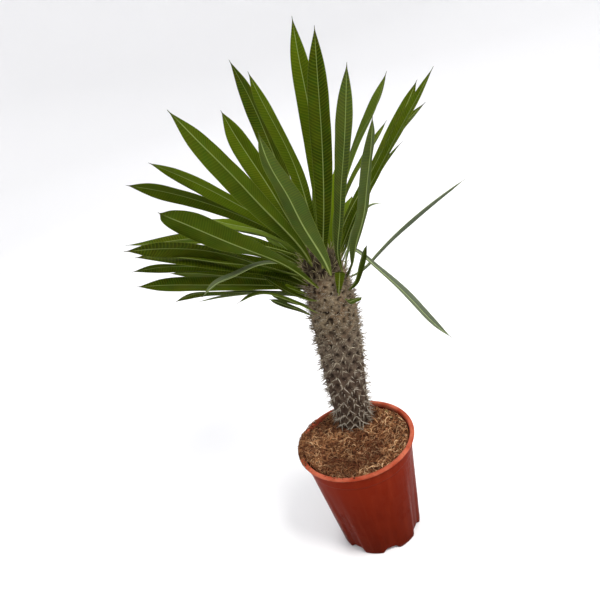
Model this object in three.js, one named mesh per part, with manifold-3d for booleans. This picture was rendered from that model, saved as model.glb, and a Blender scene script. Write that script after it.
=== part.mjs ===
// Madagascar palm (Pachypodium) in a round nursery pot.
// Units: millimetres. +Z is up. Origin: centre of the pot's foot, on the surface it stands on.
// -Y is the side that the pot shows to the front, +X is to its right.
//
// Pieces: pot, soil, trunk (stem, spines and buried neck grown as one body) and one body per leaf.
import * as THREE from "three";
import { mergeVertices } from "three/addons/utils/BufferGeometryUtils.js";
import Module from "manifold-3d";

const wasm = await Module();
wasm.setup();

// ---------------------------------------------------------------- driving dimensions
const POT = {
  height: 170.5, // foot to top of the rolled rim
  footR: 60.6, // outer radius at the foot
  rimR: 85, // outer radius of the rolled rim
  wall: 1.9,
  lobes: 7, // feet round the base, with a raised drainage channel between each two
  firstChannelDeg: -86, // direction of one channel's centre line
  channelRise: 4.8, // height of the arch at each channel
  floor: 2.2, // thickness of the bottom
  around: 56, // facets round the pot, a multiple of lobes
};
const SOIL = { top: 164.2, dish: 4.6, bank: 4, gap: 0.5, trunkGap: 0.5 }; // the surface dips round the stem and banks up on one side
const TRUNK = {
  bottom: 121, // the buried neck ends here
  apex: 461.3,
  pit: 2.6, // depth of the hollow between four spine cushions
  spine: 8.5, // length of a spine above its cushion
  spineR: 1.0,
};
const GOLDEN = 137.50776; // degrees between one spine cushion and the next

// Stem radius along its height, [z, radius].
const STEM_RADIUS = [
  [110, 14.5], [121, 17.5], [131, 20.3], [141, 22.7], [150, 24.3], [160, 25.07], [170, 25.69], [180, 26.27], [190, 26.84], [200, 27.4], [210, 27.97], [220, 28.55], [230, 29.1], [240, 29.59], [250, 30.04], [260, 30.45], [270, 30.83], [280, 31.18], [290, 31.56], [300, 31.87], [310, 32], [320, 32], [330, 32], [340, 32], [350, 31.92], [360, 31.74], [370, 31.5], [380, 31.2], [390, 30.77], [400, 30.15], [405, 29.69], [410, 29.14], [415, 28.5], [420, 27.71], [425, 26.71], [430, 25.5], [435, 23.91], [440, 21.89], [442, 21], [444, 20.05], [446, 19], [448, 17.83], [450, 16.5], [452, 14.96], [454, 13.14], [456, 11], [458, 8.52], [460, 5], [461.5, 0],
];
// Skin area that one spine cushion takes, along the height, [z, mm2]: wide cells low down, small ones near the tip.
const CUSHION_AREA = [
  [110, 105], [150, 110], [175, 118], [190, 140], [205, 195], [225, 255], [262, 262],
  [290, 240], [315, 222], [340, 200], [365, 180], [400, 165], [440, 140], [461, 110],
];
// Half-width of a leaf blade along its length from the tip, as a part of its full half-width.
const BLADE = [
  [0, 0.0], [0.015, 0.07], [0.04, 0.22], [0.08, 0.46], [0.13, 0.7], [0.19, 0.87], [0.27, 0.97],
  [0.38, 1.0], [0.52, 0.89], [0.66, 0.73], [0.8, 0.54], [0.92, 0.35], [1.0, 0.22],
];
// The same for a blade that ends cut short, from the cut.
const CUT_BLADE = [[0, 0.85], [0.08, 1], [0.4, 0.82], [0.7, 0.54], [1, 0.24]];
// One row per leaf: name, full width, cut (1 where the blade ends cut short), midrib points from
// foot to tip, and the upper face's direction at 0, 26, 65 and 100 % of the length.
const LEAVES = [
  ["leaf_01", 28.8, 0, [[25.9, 32.8, 459.6], [27.2, 33.5, 481.7], [27.9, 32.3, 517.8], [26.5, 32.2, 559.9], [20, 34.9, 602.8], [11.3, 37.1, 643], [5.2, 39.6, 678.4]],
    [[-0.501, -0.863, 0.073], [-0.53, -0.847, -0.032], [-0.793, -0.596, -0.125], [-0.604, -0.796, -0.036]]],
  ["leaf_02", 32.3, 0, [[22.6, 42.2, 454.6], [15.6, 53.5, 477.2], [11.84, 74.59, 513.88], [7.67, 100.29, 558.44], [2.9, 121.3, 606.8], [-3.9, 141.7, 652.4], [-13.1, 159.5, 691.5]],
    [[-0.535, -0.818, 0.209], [-0.563, -0.722, 0.401], [-0.677, -0.702, 0.221], [-0.755, -0.648, 0.104]]],
  ["leaf_03", 30.8, 0, [[5, 29.1, 452.8], [-5.2, 43.2, 471.4], [-27.9, 63.4, 497.8], [-59.5, 81.2, 527.1], [-94.1, 103.9, 555.4], [-130.1, 136.6, 578.1], [-161.2, 158, 597.7]],
    [[-0.66, -0.721, 0.21], [-0.596, -0.802, -0.048], [-0.705, -0.687, -0.176], [-0.624, -0.734, -0.267]]],
  ["leaf_04", 31.8, 0, [[13.2, 43.1, 448.8], [6.4, 56.3, 466.9], [-2.31, 79.97, 495.65], [-12.55, 100.27, 531.87], [-25.2, 127.6, 567.8], [-36.8, 154.4, 602.1], [-45.3, 176.5, 632.6]],
    [[-0.302, -0.834, 0.461], [-0.294, -0.821, 0.489], [-0.387, -0.777, 0.497], [-0.432, -0.784, 0.446]]],
  ["leaf_05", 26.8, 0, [[30.5, 47.2, 446.5], [37.3, 50.1, 472.2], [47.2, 60.3, 512.4], [56.1, 69, 563.3], [64, 69.7, 619.5], [67.7, 69.4, 673.6], [72, 68.1, 719.3]],
    [[-0.126, -0.985, 0.115], [-0.098, -0.958, 0.269], [-0.197, -0.98, 0.01], [-0.285, -0.959, -0.004]]],
  ["leaf_06", 28.1, 0, [[4.1, 37.2, 443.9], [-15.7, 46, 455.3], [-49.1, 61.2, 471], [-90.9, 76.3, 486.8], [-137.3, 87, 498.9], [-183, 94.6, 504.6], [-221.1, 101.9, 511.5]],
    [[0.403, -0.268, 0.875], [0.294, -0.226, 0.929], [0.132, -0.182, 0.974], [0.196, -0.011, 0.981]]],
  ["leaf_07", 28.9, 0, [[43.7, 33.7, 443], [50.6, 34.9, 464.2], [65.7, 36, 496.4], [86.8, 36.5, 533.1], [112.4, 35.6, 569.2], [139, 33.9, 602.1], [158.1, 34, 634.1]],
    [[-0.896, 0.369, 0.247], [-0.833, 0.343, 0.435], [-0.774, 0.065, 0.63], [-0.722, -0.561, 0.405]]],
  ["leaf_08", 31.9, 0, [[11.21, 8.73, 442.25], [5.7, -1, 466.5], [-7.7, -17.6, 504.2], [-25.8, -38, 547.9], [-44, -59.2, 594.5], [-62.5, -79.6, 638.2], [-78.3, -96.2, 676.3]],
    [[-0.221, 0.917, 0.331], [-0.416, 0.879, 0.234], [-0.723, 0.69, 0.027], [-0.75, 0.661, -0.025]]],
  ["leaf_09", 29, 0, [[18.9, 49.9, 441.1], [18.7, 74.2, 447.1], [20.1, 113, 456.7], [24.2, 159, 467.9], [28.7, 207.5, 479.7], [33, 253.5, 490.9], [36.5, 292.2, 500.3]],
    [[0.064, -0.238, 0.969], [0.05, -0.242, 0.969], [0.045, -0.24, 0.97], [0.045, -0.239, 0.97]]],
  ["leaf_10", 29.5, 0, [[23.61, 3.74, 437.62], [30.6, 8.2, 459.7], [42.9, 12.4, 499], [57.6, 18.1, 553.4], [70.2, 23.9, 608], [80.8, 30.2, 659.1], [90.4, 35.6, 703.6]],
    [[-0.195, -0.951, 0.241], [-0.267, -0.948, 0.171], [-0.543, -0.813, 0.209], [-0.458, -0.865, 0.204]]],
  ["leaf_11", 33.1, 0, [[6.12, 46.51, 436.82], [-3.6, 60, 458], [-32.2, 80.4, 485.1], [-72.2, 109.1, 511.5], [-116.5, 126.4, 539.2], [-160.1, 137.1, 562.8], [-200, 149.7, 579.4]],
    [[-0.86, -0.51, -0.006], [-0.689, -0.642, -0.336], [-0.462, -0.775, -0.432], [-0.337, -0.94, -0.058]]],
  ["leaf_12", 25.3, 0, [[47.9, 26.5, 435.5], [62.1, 25.2, 455.8], [85, 23.1, 488], [115.5, 19.3, 523.5], [147.4, 15.5, 561.2], [178.3, 11.6, 596.3], [204.9, 8.9, 627.3]],
    [[-0.767, -0.383, 0.515], [-0.754, -0.346, 0.559], [-0.76, -0.11, 0.641], [-0.736, -0.314, 0.6]]],
  ["leaf_13", 29, 0, [[27.7, 54.6, 434.1], [17.1, 75.8, 440.2], [5.9, 111.2, 450.4], [1, 155.5, 463.5], [-2.7, 202.6, 476.9], [-6.3, 247.6, 489], [-9.2, 285.6, 498.8]],
    [[0.135, -0.208, 0.969], [0.166, -0.247, 0.955], [0.204, -0.245, 0.948], [0.202, -0.228, 0.952]]],
  ["leaf_14", 28.9, 0, [[47.5, 41.57, 431.38], [57.5, 49, 452], [81.6, 59.3, 480.8], [115, 70.2, 511.5], [149.8, 82, 544.5], [182.9, 93, 575.5], [209, 103.6, 604.5]],
    [[0.715, -0.696, -0.066], [0.549, -0.786, -0.284], [0.514, -0.816, -0.265], [0.226, -0.961, 0.159]]],
  ["leaf_15", 26, 0, [[13.1, 53.3, 429.2], [3.1, 68.8, 440.3], [-16, 92.9, 455.9], [-41.1, 119, 469.1], [-68.4, 143.8, 476.9], [-92.3, 166.6, 482.7], [-111.3, 186.6, 488.9]],
    [[0.494, -0.288, 0.82], [0.334, -0.245, 0.91], [0.047, -0.197, 0.979], [0.166, -0.161, 0.973]]],
  ["leaf_16", 13.9, 0, [[-2.1, 20.5, 427.5], [-9.9, 10.1, 444.5], [-28.1, -26.06, 471.94], [-50.56, -66.12, 491.29], [-73.7, -82.4, 493.4], [-93.8, -98.4, 496.3], [-108.3, -114.7, 494.1]],
    [[0.9, 0.093, 0.425], [0.5, 0.253, 0.828], [0.066, -0, 0.998], [0.049, -0.25, 0.967]]],
  ["leaf_17", 33.4, 0, [[30.3, 0.9, 426.1], [27.9, -10.8, 447.1], [21.1, -29.6, 480.5], [12.6, -52.6, 519.9], [6.1, -76.8, 561.9], [-2, -99.9, 601.4], [-3.5, -118.6, 636.3]],
    [[0.247, 0.836, 0.49], [0.149, 0.842, 0.519], [0.639, 0.603, 0.478], [0.719, 0.615, 0.323]]],
  ["leaf_18", 14, 0, [[52.4, 33.3, 424.2], [65.5, 42.6, 433.7], [87.6, 39.2, 409], [108.5, 33.2, 375.6], [129.1, 26.4, 339.6], [147.7, 19.6, 304.6], [167, 14.5, 276.2]],
    [[-0.451, -0.461, 0.764], [0.536, -0.693, 0.482], [0.51, -0.752, 0.417], [0.313, -0.871, 0.378]]],
  ["leaf_19", 29.1, 0, [[5.87, 7.47, 423.14], [-6.77, 5.69, 432.36], [-33.66, -13.32, 459.27], [-59.33, -45.41, 492.41], [-91.04, -75.17, 526.1], [-125.68, -119.1, 556.73], [-157.24, -139.51, 571.36]],
    [[-0.498, -0.434, -0.751], [-0.419, -0.47, -0.777], [-0.079, -0.612, -0.787], [0.408, -0.91, -0.079]]],
  ["leaf_20", 26, 0, [[22.2, 58.5, 422.4], [11.1, 74.5, 431.8], [-8.8, 99.1, 444.9], [-35.6, 127.8, 457.5], [-67.2, 156.1, 466.8], [-98.3, 182.4, 474], [-124.8, 204.4, 479.6]],
    [[0.25, -0.365, 0.897], [0.259, -0.235, 0.937], [0.197, -0.053, 0.979], [0.176, -0.035, 0.984]]],
  ["leaf_21", 29, 0, [[46, 7.8, 421.9], [46.3, 3.6, 446.2], [56.7, -3.1, 484], [68.9, -11.8, 529.5], [82.9, -21.4, 577.3], [94.9, -30.4, 623.1], [104.6, -37.3, 663.1]],
    [[-0.809, -0.573, -0.132], [-0.865, -0.466, 0.186], [-0.869, -0.471, 0.154], [-0.672, -0.739, 0.038]]],
  ["leaf_22", 25.7, 0, [[46.2, 48.8, 419.7], [53.1, 62.3, 436.4], [65.1, 84, 462.4], [87.8, 108.1, 489.3], [117.7, 131.7, 513.3], [147.6, 153.3, 534.4], [173.8, 172.2, 553.4]],
    [[-0.935, 0.049, 0.351], [-0.876, 0.054, 0.479], [-0.606, 0.042, 0.794], [-0.469, -0.218, 0.856]]],
  ["leaf_23", 29, 0, [[7, 53.2, 417.9], [-8.1, 68.5, 431.2], [-35.7, 91.6, 449.4], [-73.5, 116.5, 465.3], [-117, 139.7, 475.7], [-160.6, 159.3, 480.2], [-196.9, 176.2, 485]],
    [[0.36, -0.398, 0.844], [0.214, -0.365, 0.906], [-0.038, -0.368, 0.929], [-0.039, -0.368, 0.929]]],
  ["leaf_24", 9.9, 0, [[53, 23.6, 417.1], [56.6, 25.2, 428.7], [64.9, 31.1, 445.3], [76.9, 43.2, 461.1], [92.8, 58.8, 471.2], [110.2, 74.2, 474], [125.5, 85.2, 468]],
    [[0.963, -0.009, -0.269], [0.868, -0.068, -0.491], [0.495, -0.152, -0.856], [-0.481, 0.056, -0.875]]],
  ["leaf_25", 34.6, 0, [[-2.74, 14.07, 416.43], [-9.89, 12.52, 425.86], [-28.17, 2.14, 447.17], [-61.19, -12.93, 473.38], [-95.66, -55.61, 506.7], [-126.58, -94.74, 537.99], [-155.08, -121.9, 556.91]],
    [[0.443, -0.846, 0.297], [0.677, -0.579, 0.455], [0.798, -0.112, 0.592], [0.697, -0.374, 0.612]]],
  ["leaf_26", 35, 0, [[10.38, 3.54, 411.83], [-2.88, -11.22, 438.5], [-21.62, -56.46, 481.43], [-44.04, -87.92, 513.86], [-69.5, -103, 541.6], [-94.7, -113.5, 568.9], [-114.8, -133.8, 595.3]],
    [[0.551, 0.621, 0.557], [0.405, 0.494, 0.769], [0.138, 0.884, 0.448], [-0.12, 0.796, 0.593]]],
  ["leaf_27", 29, 0, [[15.8, 59.2, 411], [4.5, 79.6, 411.7], [-13.4, 112.6, 413.3], [-34.1, 152.1, 415.8], [-55.4, 193.9, 418.8], [-75.8, 233.5, 421.6], [-92.9, 266.9, 424]],
    [[0.027, -0.017, 0.999], [0.039, -0.036, 0.999], [0.046, -0.048, 0.998], [0.047, -0.048, 0.998]]],
  ["leaf_28", 36.2, 0, [[50, 14, 410.2], [59.1, 1.6, 428.6], [68.6, -16.5, 461], [82, -38.6, 498.6], [91.6, -60.8, 540.3], [100.4, -81.9, 579.8], [107.2, -99, 614.8]],
    [[-0.913, -0.229, 0.339], [-0.632, 0.578, 0.517], [-0.767, 0.486, 0.419], [-0.562, 0.701, 0.439]]],
  ["leaf_29", 27.3, 0, [[42.4, 54.9, 408.4], [60.1, 65.7, 424.8], [86.8, 83.6, 452.5], [119.1, 104.7, 484.7], [154.9, 126.5, 517.6], [191.8, 146.1, 546.2], [229.1, 159.8, 563.9]],
    [[-0.689, 0.062, 0.722], [-0.729, 0.017, 0.685], [-0.647, -0.052, 0.761], [-0.243, -0.388, 0.889]]],
  ["leaf_30", 29, 0, [[26.3, 61.3, 404], [30.2, 86.5, 416.1], [38, 127, 434.4], [50, 175, 454.8], [63.8, 225.6, 475.5], [76.7, 273.9, 494.9], [87.5, 314.6, 511.1]],
    [[0.013, -0.438, 0.899], [-0.099, -0.38, 0.92], [-0.201, -0.32, 0.926], [-0.199, -0.316, 0.928]]],
  ["leaf_31", 22, 0, [[50.5, 48.1, 401.5], [60, 63.6, 414.2], [77.1, 87, 434.6], [100.2, 112.9, 458.9], [128.6, 137.4, 483.2], [159.1, 157.9, 504.7], [189.6, 171.7, 518.3]],
    [[0.908, -0.342, -0.243], [0.86, -0.391, -0.328], [0.746, -0.463, -0.479], [0.496, -0.557, -0.666]]],
  ["leaf_32", 29, 0, [[8.8, 59.3, 399.8], [8.5, 82.6, 402.4], [8.1, 119.7, 407.7], [7, 163.9, 415.5], [5.5, 210.4, 425], [3.9, 254.2, 435.1], [2.5, 291.1, 444.1]],
    [[0.06, -0.105, 0.993], [0.054, -0.158, 0.986], [0.047, -0.212, 0.976], [0.049, -0.237, 0.97]]],
  ["leaf_33", 9, 1, [[-5.56, 18.74, 397.98], [-6.65, 19.47, 400.26], [-10.86, 19.03, 404.28], [-15.93, 18.79, 408.77], [-21.37, 19.49, 412.92], [-26.64, 20.97, 416.37], [-31.2, 23.09, 418.8]],
    [[0.471, -0.718, 0.513], [0.507, -0.732, 0.456], [0.248, -0.785, 0.568], [0.007, -0.703, 0.711]]],
  ["leaf_34", 29, 0, [[36.9, 59.8, 397.1], [42.5, 83.6, 403.8], [52, 120.9, 416.8], [64.3, 163.6, 435.9], [82.2, 205.6, 458.5], [100.1, 242.9, 483.5], [115.6, 272.3, 507]],
    [[0.017, -0.266, 0.964], [-0.046, -0.359, 0.932], [-0.183, -0.441, 0.879], [-0.26, -0.527, 0.809]]],
  ["leaf_35", 13.5, 1, [[33.65, 0.73, 396.23], [34.45, -0.18, 399.81], [35.98, -2.02, 405.28], [37.52, -3.52, 411.47], [39.19, -4.48, 417.65], [40.88, -5.11, 423.33], [42.15, -6.14, 428.19]],
    [[-0.287, -0.915, -0.283], [-0.261, -0.943, -0.207], [-0.206, -0.977, -0.046], [-0.236, -0.957, -0.167]]],
  ["leaf_36", 29.1, 0, [[-3.5, 46.8, 395.3], [-21.6, 57.3, 409.6], [-56, 71, 426], [-99.2, 85.3, 441.6], [-146.1, 99.2, 455.4], [-192, 110.7, 464.9], [-232.8, 118, 467.9]],
    [[-0.728, -0.443, -0.524], [-0.461, -0.552, -0.694], [-0.358, -0.647, -0.674], [-0.168, -0.911, -0.377]]],
  ["leaf_37", 20, 0, [[5.3, 4.8, 393.6], [-1.7, 2.3, 398], [-12.2, -1, 406.3], [-23.6, -4.7, 417.9], [-34.3, -7.9, 431.6], [-43.8, -10.6, 445.2], [-50.9, -12.6, 457.3]],
    [[0.494, 0.08, 0.866], [0.662, 0.028, 0.749], [0.811, -0.117, 0.573], [0.87, -0.162, 0.465]]],
  ["leaf_38", 29, 0, [[19.3, 63.6, 392.7], [26.3, 85.5, 398.5], [37.8, 120.5, 407.7], [51.4, 162.6, 418.7], [65.9, 206.9, 430.1], [79.6, 249, 441], [91.1, 284.5, 450.2]],
    [[0.003, -0.257, 0.966], [0.003, -0.255, 0.967], [0.004, -0.251, 0.968], [0.004, -0.252, 0.968]]],
  ["leaf_39", 18.4, 0, [[48, 11.5, 391.8], [52.8, 8.1, 396.9], [59.5, 2.9, 406], [64.7, -2.1, 418.9], [70.3, -7.4, 432.6], [76.1, -12.5, 445.4], [81.5, -16.8, 455.9]],
    [[0.739, 0.063, -0.67], [0.895, 0.148, -0.42], [0.927, 0.112, -0.358], [0.898, 0.142, -0.416]]],
  ["leaf_40", 16.5, 0, [[46.8, 55.2, 390.2], [68.1, 55.8, 391.7], [98.5, 61.8, 405.9], [134.2, 70.3, 424.5], [173.6, 78, 441], [212, 84.2, 454.3], [244.9, 88.8, 463.9]],
    [[0, -0.75, -0.662], [0.485, -0.693, -0.533], [0.372, -0.615, -0.695], [0.292, -0.594, -0.749]]],
  ["leaf_41", 29.3, 0, [[2.3, 57.1, 388.3], [-20.2, 64.4, 395.9], [-56.9, 75.2, 405.9], [-101.6, 87.5, 416.1], [-149, 100.4, 426.2], [-194.1, 112.6, 435.7], [-236.1, 122.4, 442.7]],
    [[0.147, -0.474, 0.868], [0.078, -0.48, 0.874], [0.092, -0.389, 0.917], [-0.054, -0.72, 0.692]]],
  ["leaf_42", 29, 0, [[30.2, 63.2, 385.7], [37.3, 83.9, 391.1], [49.5, 116.8, 399.3], [64.6, 155.6, 408.7], [81.7, 196.3, 417.9], [98, 234.8, 426.7], [111.7, 267.3, 434]],
    [[0.001, -0.255, 0.967], [-0.001, -0.239, 0.971], [-0.001, -0.22, 0.976], [-0, -0.218, 0.976]]],
  ["leaf_43", 11.9, 0, [[39.6, 4.6, 384.8], [41.4, 2.7, 384.3], [43.7, -1.2, 382.1], [48.5, -3.9, 383.9], [52.8, -6.8, 385.5], [56.3, -9.7, 387.3], [59.5, -11.9, 388.5]],
    [[-0.645, -0.679, -0.351], [-0.735, -0.609, -0.3], [-0.283, -0.679, -0.678], [-0.233, -0.697, -0.678]]],
  ["leaf_44", 27, 0, [[11.7, 63.9, 381.4], [-8.4, 74.9, 389.1], [-40.9, 92.3, 399.9], [-80.8, 113.6, 409.7], [-123.2, 136.6, 417.9], [-163.1, 159.1, 425.1], [-197.6, 177.4, 428.3]],
    [[0.236, -0.238, 0.942], [0.158, -0.229, 0.961], [0.064, -0.225, 0.972], [-0.063, -0.255, 0.965]]],
  ["leaf_45", 8.5, 0, [[-7.72, 24.08, 379.49], [-11.58, 26.23, 381.8], [-19.04, 29.88, 385.28], [-27.86, 34.86, 389.34], [-37.15, 41.9, 393.09], [-46.07, 50.75, 395.98], [-53.73, 60.23, 397.79]],
    [[0.244, -0.494, 0.835], [0.073, -0.586, 0.807], [-0.11, -0.493, 0.863], [-0.232, -0.336, 0.913]]],
  ["leaf_46", 28, 0, [[-2.5, 52.2, 376.8], [-19.1, 64.4, 384.7], [-49.5, 80.9, 391.2], [-86.8, 99.5, 396.2], [-126.8, 117.9, 399.5], [-165.4, 134.9, 401.5], [-199.2, 145.3, 394.4]],
    [[-0.627, -0.314, -0.713], [-0.335, -0.42, -0.843], [-0.324, -0.531, -0.783], [-0.084, -0.834, -0.545]]],
  ["leaf_47", 14, 0, [[0.7, 8.2, 375], [-6.9, 6.1, 384.1], [-19.1, 2.5, 398.3], [-34.7, -2.4, 414.5], [-52.1, -8.8, 429.6], [-71.2, -18.1, 436.8], [-87.8, -28.2, 437.6]],
    [[0.688, 0.326, 0.649], [0.658, 0.317, 0.683], [0.412, 0.313, 0.856], [-0.061, 0.085, 0.995]]],
  ["leaf_48", 29, 0, [[22.9, 65.5, 374.2], [17.1, 87.6, 379.5], [7, 122.8, 387.7], [-5.9, 164.4, 396.9], [-20.7, 208.1, 406.1], [-35.1, 249.5, 414.6], [-47.3, 284.4, 421.8]],
    [[0.094, -0.21, 0.973], [0.095, -0.194, 0.976], [0.094, -0.17, 0.981], [0.093, -0.17, 0.981]]],
  ["leaf_49", 20, 0, [[5.2, 60.8, 369.7], [-11.2, 73.5, 373.2], [-38.4, 93.2, 377], [-71.5, 115.8, 379.7], [-107.7, 137.8, 378.5], [-142.5, 157.8, 375.6], [-172, 173.9, 371.7]],
    [[0.125, -0.127, 0.984], [0.142, 0.041, 0.989], [0.093, 0.266, 0.96], [0.025, 0.298, 0.954]]],
  ["leaf_50", 8, 0, [[-6.7, 17.9, 367.9], [-11.5, 17.1, 372.9], [-19.5, 18.2, 380.5], [-30.3, 23.1, 386.9], [-40.7, 31.9, 391.2], [-49.4, 41.9, 393.6], [-56.2, 51.1, 394.4]],
    [[0.594, -0.68, 0.43], [0.27, -0.734, 0.624], [-0.205, -0.488, 0.848], [-0.379, -0.325, 0.866]]],
];

// ---------------------------------------------------------------- helpers
const V = (a) => new THREE.Vector3(a[0], a[1], a[2]);
const lerpTable = (t, x) => {
  if (x <= t[0][0]) return t[0][1];
  for (let i = 1; i < t.length; i++)
    if (x <= t[i][0])
      return t[i - 1][1] + ((t[i][1] - t[i - 1][1]) * (x - t[i - 1][0])) / (t[i][0] - t[i - 1][0]);
  return t[t.length - 1][1];
};
const rad = (deg) => (deg * Math.PI) / 180;
const geometryOf = (points, triangles) => {
  const g = new THREE.BufferGeometry();
  g.setAttribute("position", new THREE.Float32BufferAttribute(points.flat(), 3));
  g.setIndex(triangles.flat());
  return g;
};
const solidOf = (g) => {
  const bare = g.clone();
  bare.deleteAttribute("normal");
  bare.deleteAttribute("uv");
  const m = mergeVertices(bare, 1e-4);
  return new wasm.Manifold(
    new wasm.Mesh({
      numProp: 3,
      vertProperties: new Float32Array(m.attributes.position.array),
      triVerts: new Uint32Array(m.index.array),
    }),
  );
};
const geometryFrom = (solid) => {
  const m = solid.getMesh();
  const g = new THREE.BufferGeometry();
  g.setAttribute("position", new THREE.Float32BufferAttribute(Array.from(m.vertProperties), 3));
  g.setIndex(Array.from(m.triVerts));
  return g;
};
// A closed skin through rings of equal count; the first and last rings close on one point each.
// "turned" swaps the diagonal of every facet, so that two skins built in opposite directions match.
const skin = (rings, start, end, turned = false) => {
  const n = rings[0].length;
  const points = [start, ...rings.flat(), end];
  const t = [];
  const id = (i, j) => 1 + i * n + (j % n);
  for (let j = 0; j < n; j++) t.push([0, id(0, j + 1), id(0, j)]);
  for (let i = 0; i + 1 < rings.length; i++)
    for (let j = 0; j < n; j++) {
      const [a, b, c, d] = [id(i, j), id(i, j + 1), id(i + 1, j + 1), id(i + 1, j)];
      t.push(...(turned ? [[a, b, d], [b, c, d]] : [[a, b, c], [a, c, d]]));
    }
  const last = points.length - 1;
  for (let j = 0; j < n; j++) t.push([id(rings.length - 1, j), id(rings.length - 1, j + 1), last]);
  return geometryOf(points, t);
};
const material = (hex, roughness, metalness = 0) =>
  new THREE.MeshStandardMaterial({ color: hex, roughness, metalness });

const plant = new THREE.Group();
const add = (name, geometry, mat) => {
  geometry.computeVertexNormals();
  const mesh = new THREE.Mesh(geometry, mat);
  mesh.name = name;
  plant.add(mesh);
  return mesh;
};

// ---------------------------------------------------------------- pot
// 1 on the centre line of a drainage channel, 0 on the feet.
const channel = (deg) => {
  const pitch = 360 / POT.lobes;
  let d = Math.abs(((((deg - POT.firstChannelDeg) % pitch) + pitch) % pitch));
  d = Math.min(d, pitch - d);
  return d < 6.5 ? 1 - 0.06 * (d / 6.5) ** 2 : Math.max(0, 0.94 * (1 - (d - 6.5) / 6.3));
};
// [height, outer radius, flute depth] up the outside of the wall
const OUTSIDE = [
  [0, POT.footR, 3.0],
  [7, POT.footR + 0.8, 2.9],
  [45, 65.9, 2.3],
  [95, 71.5, 1.3],
  [146.5, 77.3, 0],
  [147.6, 78.2, 0],
  [163.8, 79.9, 0],
  [165.6, 83.2, 0],
  [168.2, POT.rimR, 0],
  [170.0, 83.8, 0],
  [POT.height, 81.5, 0],
  [170.0, 79.2, 0],
];
// the inside, from the rim down
const INSIDE = [
  [168.6, 78.3, 0],
  [146.5, 75.5, 0],
  [95, 69.6, 1.3],
  [45, 64.0, 2.3],
  [9, 59.4, 2.8],
];
// The channels die out towards the flat disc in the middle of the bottom.
const FLOOR_R = [52, 40, 27];
const raised = (r, deg) => (r <= 27 ? 0 : POT.channelRise * channel(deg));
const potRing = (z, r, flute, lift = 0, shrink = 0) =>
  Array.from({ length: POT.around }, (_, j) => {
    const deg = POT.firstChannelDeg + (360 * j) / POT.around;
    const c = channel(deg);
    const rr = r - flute * c - shrink;
    return [rr * Math.cos(rad(deg)), rr * Math.sin(rad(deg)), z + lift * c];
  });
const floorRing = (r, up) =>
  Array.from({ length: POT.around }, (_, j) => {
    const deg = POT.firstChannelDeg + (360 * j) / POT.around;
    return [r * Math.cos(rad(deg)), r * Math.sin(rad(deg)), up + raised(r, deg)];
  });
{
  const rings = [];
  for (const r of [...FLOOR_R].reverse()) rings.push(floorRing(r, 0));
  rings.push(potRing(0, POT.footR - 1.6, 2.9, POT.channelRise));
  OUTSIDE.forEach(([z, r, f], i) => rings.push(potRing(z, r, f, i === 0 ? POT.channelRise : 0)));
  INSIDE.forEach(([z, r, f]) => rings.push(potRing(z, r, f)));
  rings.push(potRing(POT.floor + 0.6, 57.6, 2.8, POT.channelRise));
  for (const r of FLOOR_R) rings.push(floorRing(r, POT.floor));
  let pot = solidOf(
    skin(rings, [0, 0, 0], [0, 0, POT.floor]),
  );
  // a drainage hole in each channel
  const drill = (x, y, r) => {
    const g = new THREE.CylinderGeometry(r, r, 16, 10);
    g.rotateX(Math.PI / 2);
    g.translate(x, y, 5);
    return solidOf(g);
  };
  for (let i = 0; i < POT.lobes; i++) {
    const a = rad(POT.firstChannelDeg + (360 * i) / POT.lobes);
    pot = pot.subtract(drill(46 * Math.cos(a), 46 * Math.sin(a), 3.5));
  }
  add("pot", geometryFrom(pot), material(0x96402c, 0.42));
}

// ---------------------------------------------------------------- trunk
const stemAxis = (z) => [
  -2.0684e-6 * z ** 3 + 1.757506e-3 * z ** 2 - 0.39921739 * z + 34.695323,
  49 - 0.075 * (z - 160) - 0.22 * Math.max(0, 152 - z),
  z,
];
const stemR = (z) => lerpTable(STEM_RADIUS, z);
// The spine cushions, tip first, in one spiral with the golden angle between neighbours.
const stepAt = (z) => {
  const slope = stemR(Math.min(z + 0.5, 461.4)) - stemR(z - 0.5);
  return (
    lerpTable(CUSHION_AREA, z) /
    (2 * Math.PI * Math.max(stemR(z), 3) * Math.sqrt(1 + Math.min(slope * slope, 60)))
  );
};
const cushions = [];
{
  const z0 = 276.1;
  const a0 = -98;
  const above = [];
  for (let z = z0 + stepAt(z0), a = a0 + GOLDEN; z <= 460.2; z += stepAt(z), a += GOLDEN) above.push([a, z]);
  cushions.push(...above.reverse(), [a0, z0]);
  for (let z = z0 - stepAt(z0), a = a0 - GOLDEN; z >= 131; z -= stepAt(z), a -= GOLDEN) cushions.push([a, z]);
}
const onStem = (deg, z, out = 0) => {
  const c = stemAxis(z);
  const r = stemR(z);
  const slope = stemR(Math.min(z + 0.5, 461.4)) - stemR(z - 0.5);
  const n = new THREE.Vector3(Math.cos(rad(deg)), Math.sin(rad(deg)), -slope).normalize();
  const p = new THREE.Vector3(c[0] + r * Math.cos(rad(deg)), c[1] + r * Math.sin(rad(deg)), z);
  return { p: p.addScaledVector(n, out), n };
};

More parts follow.
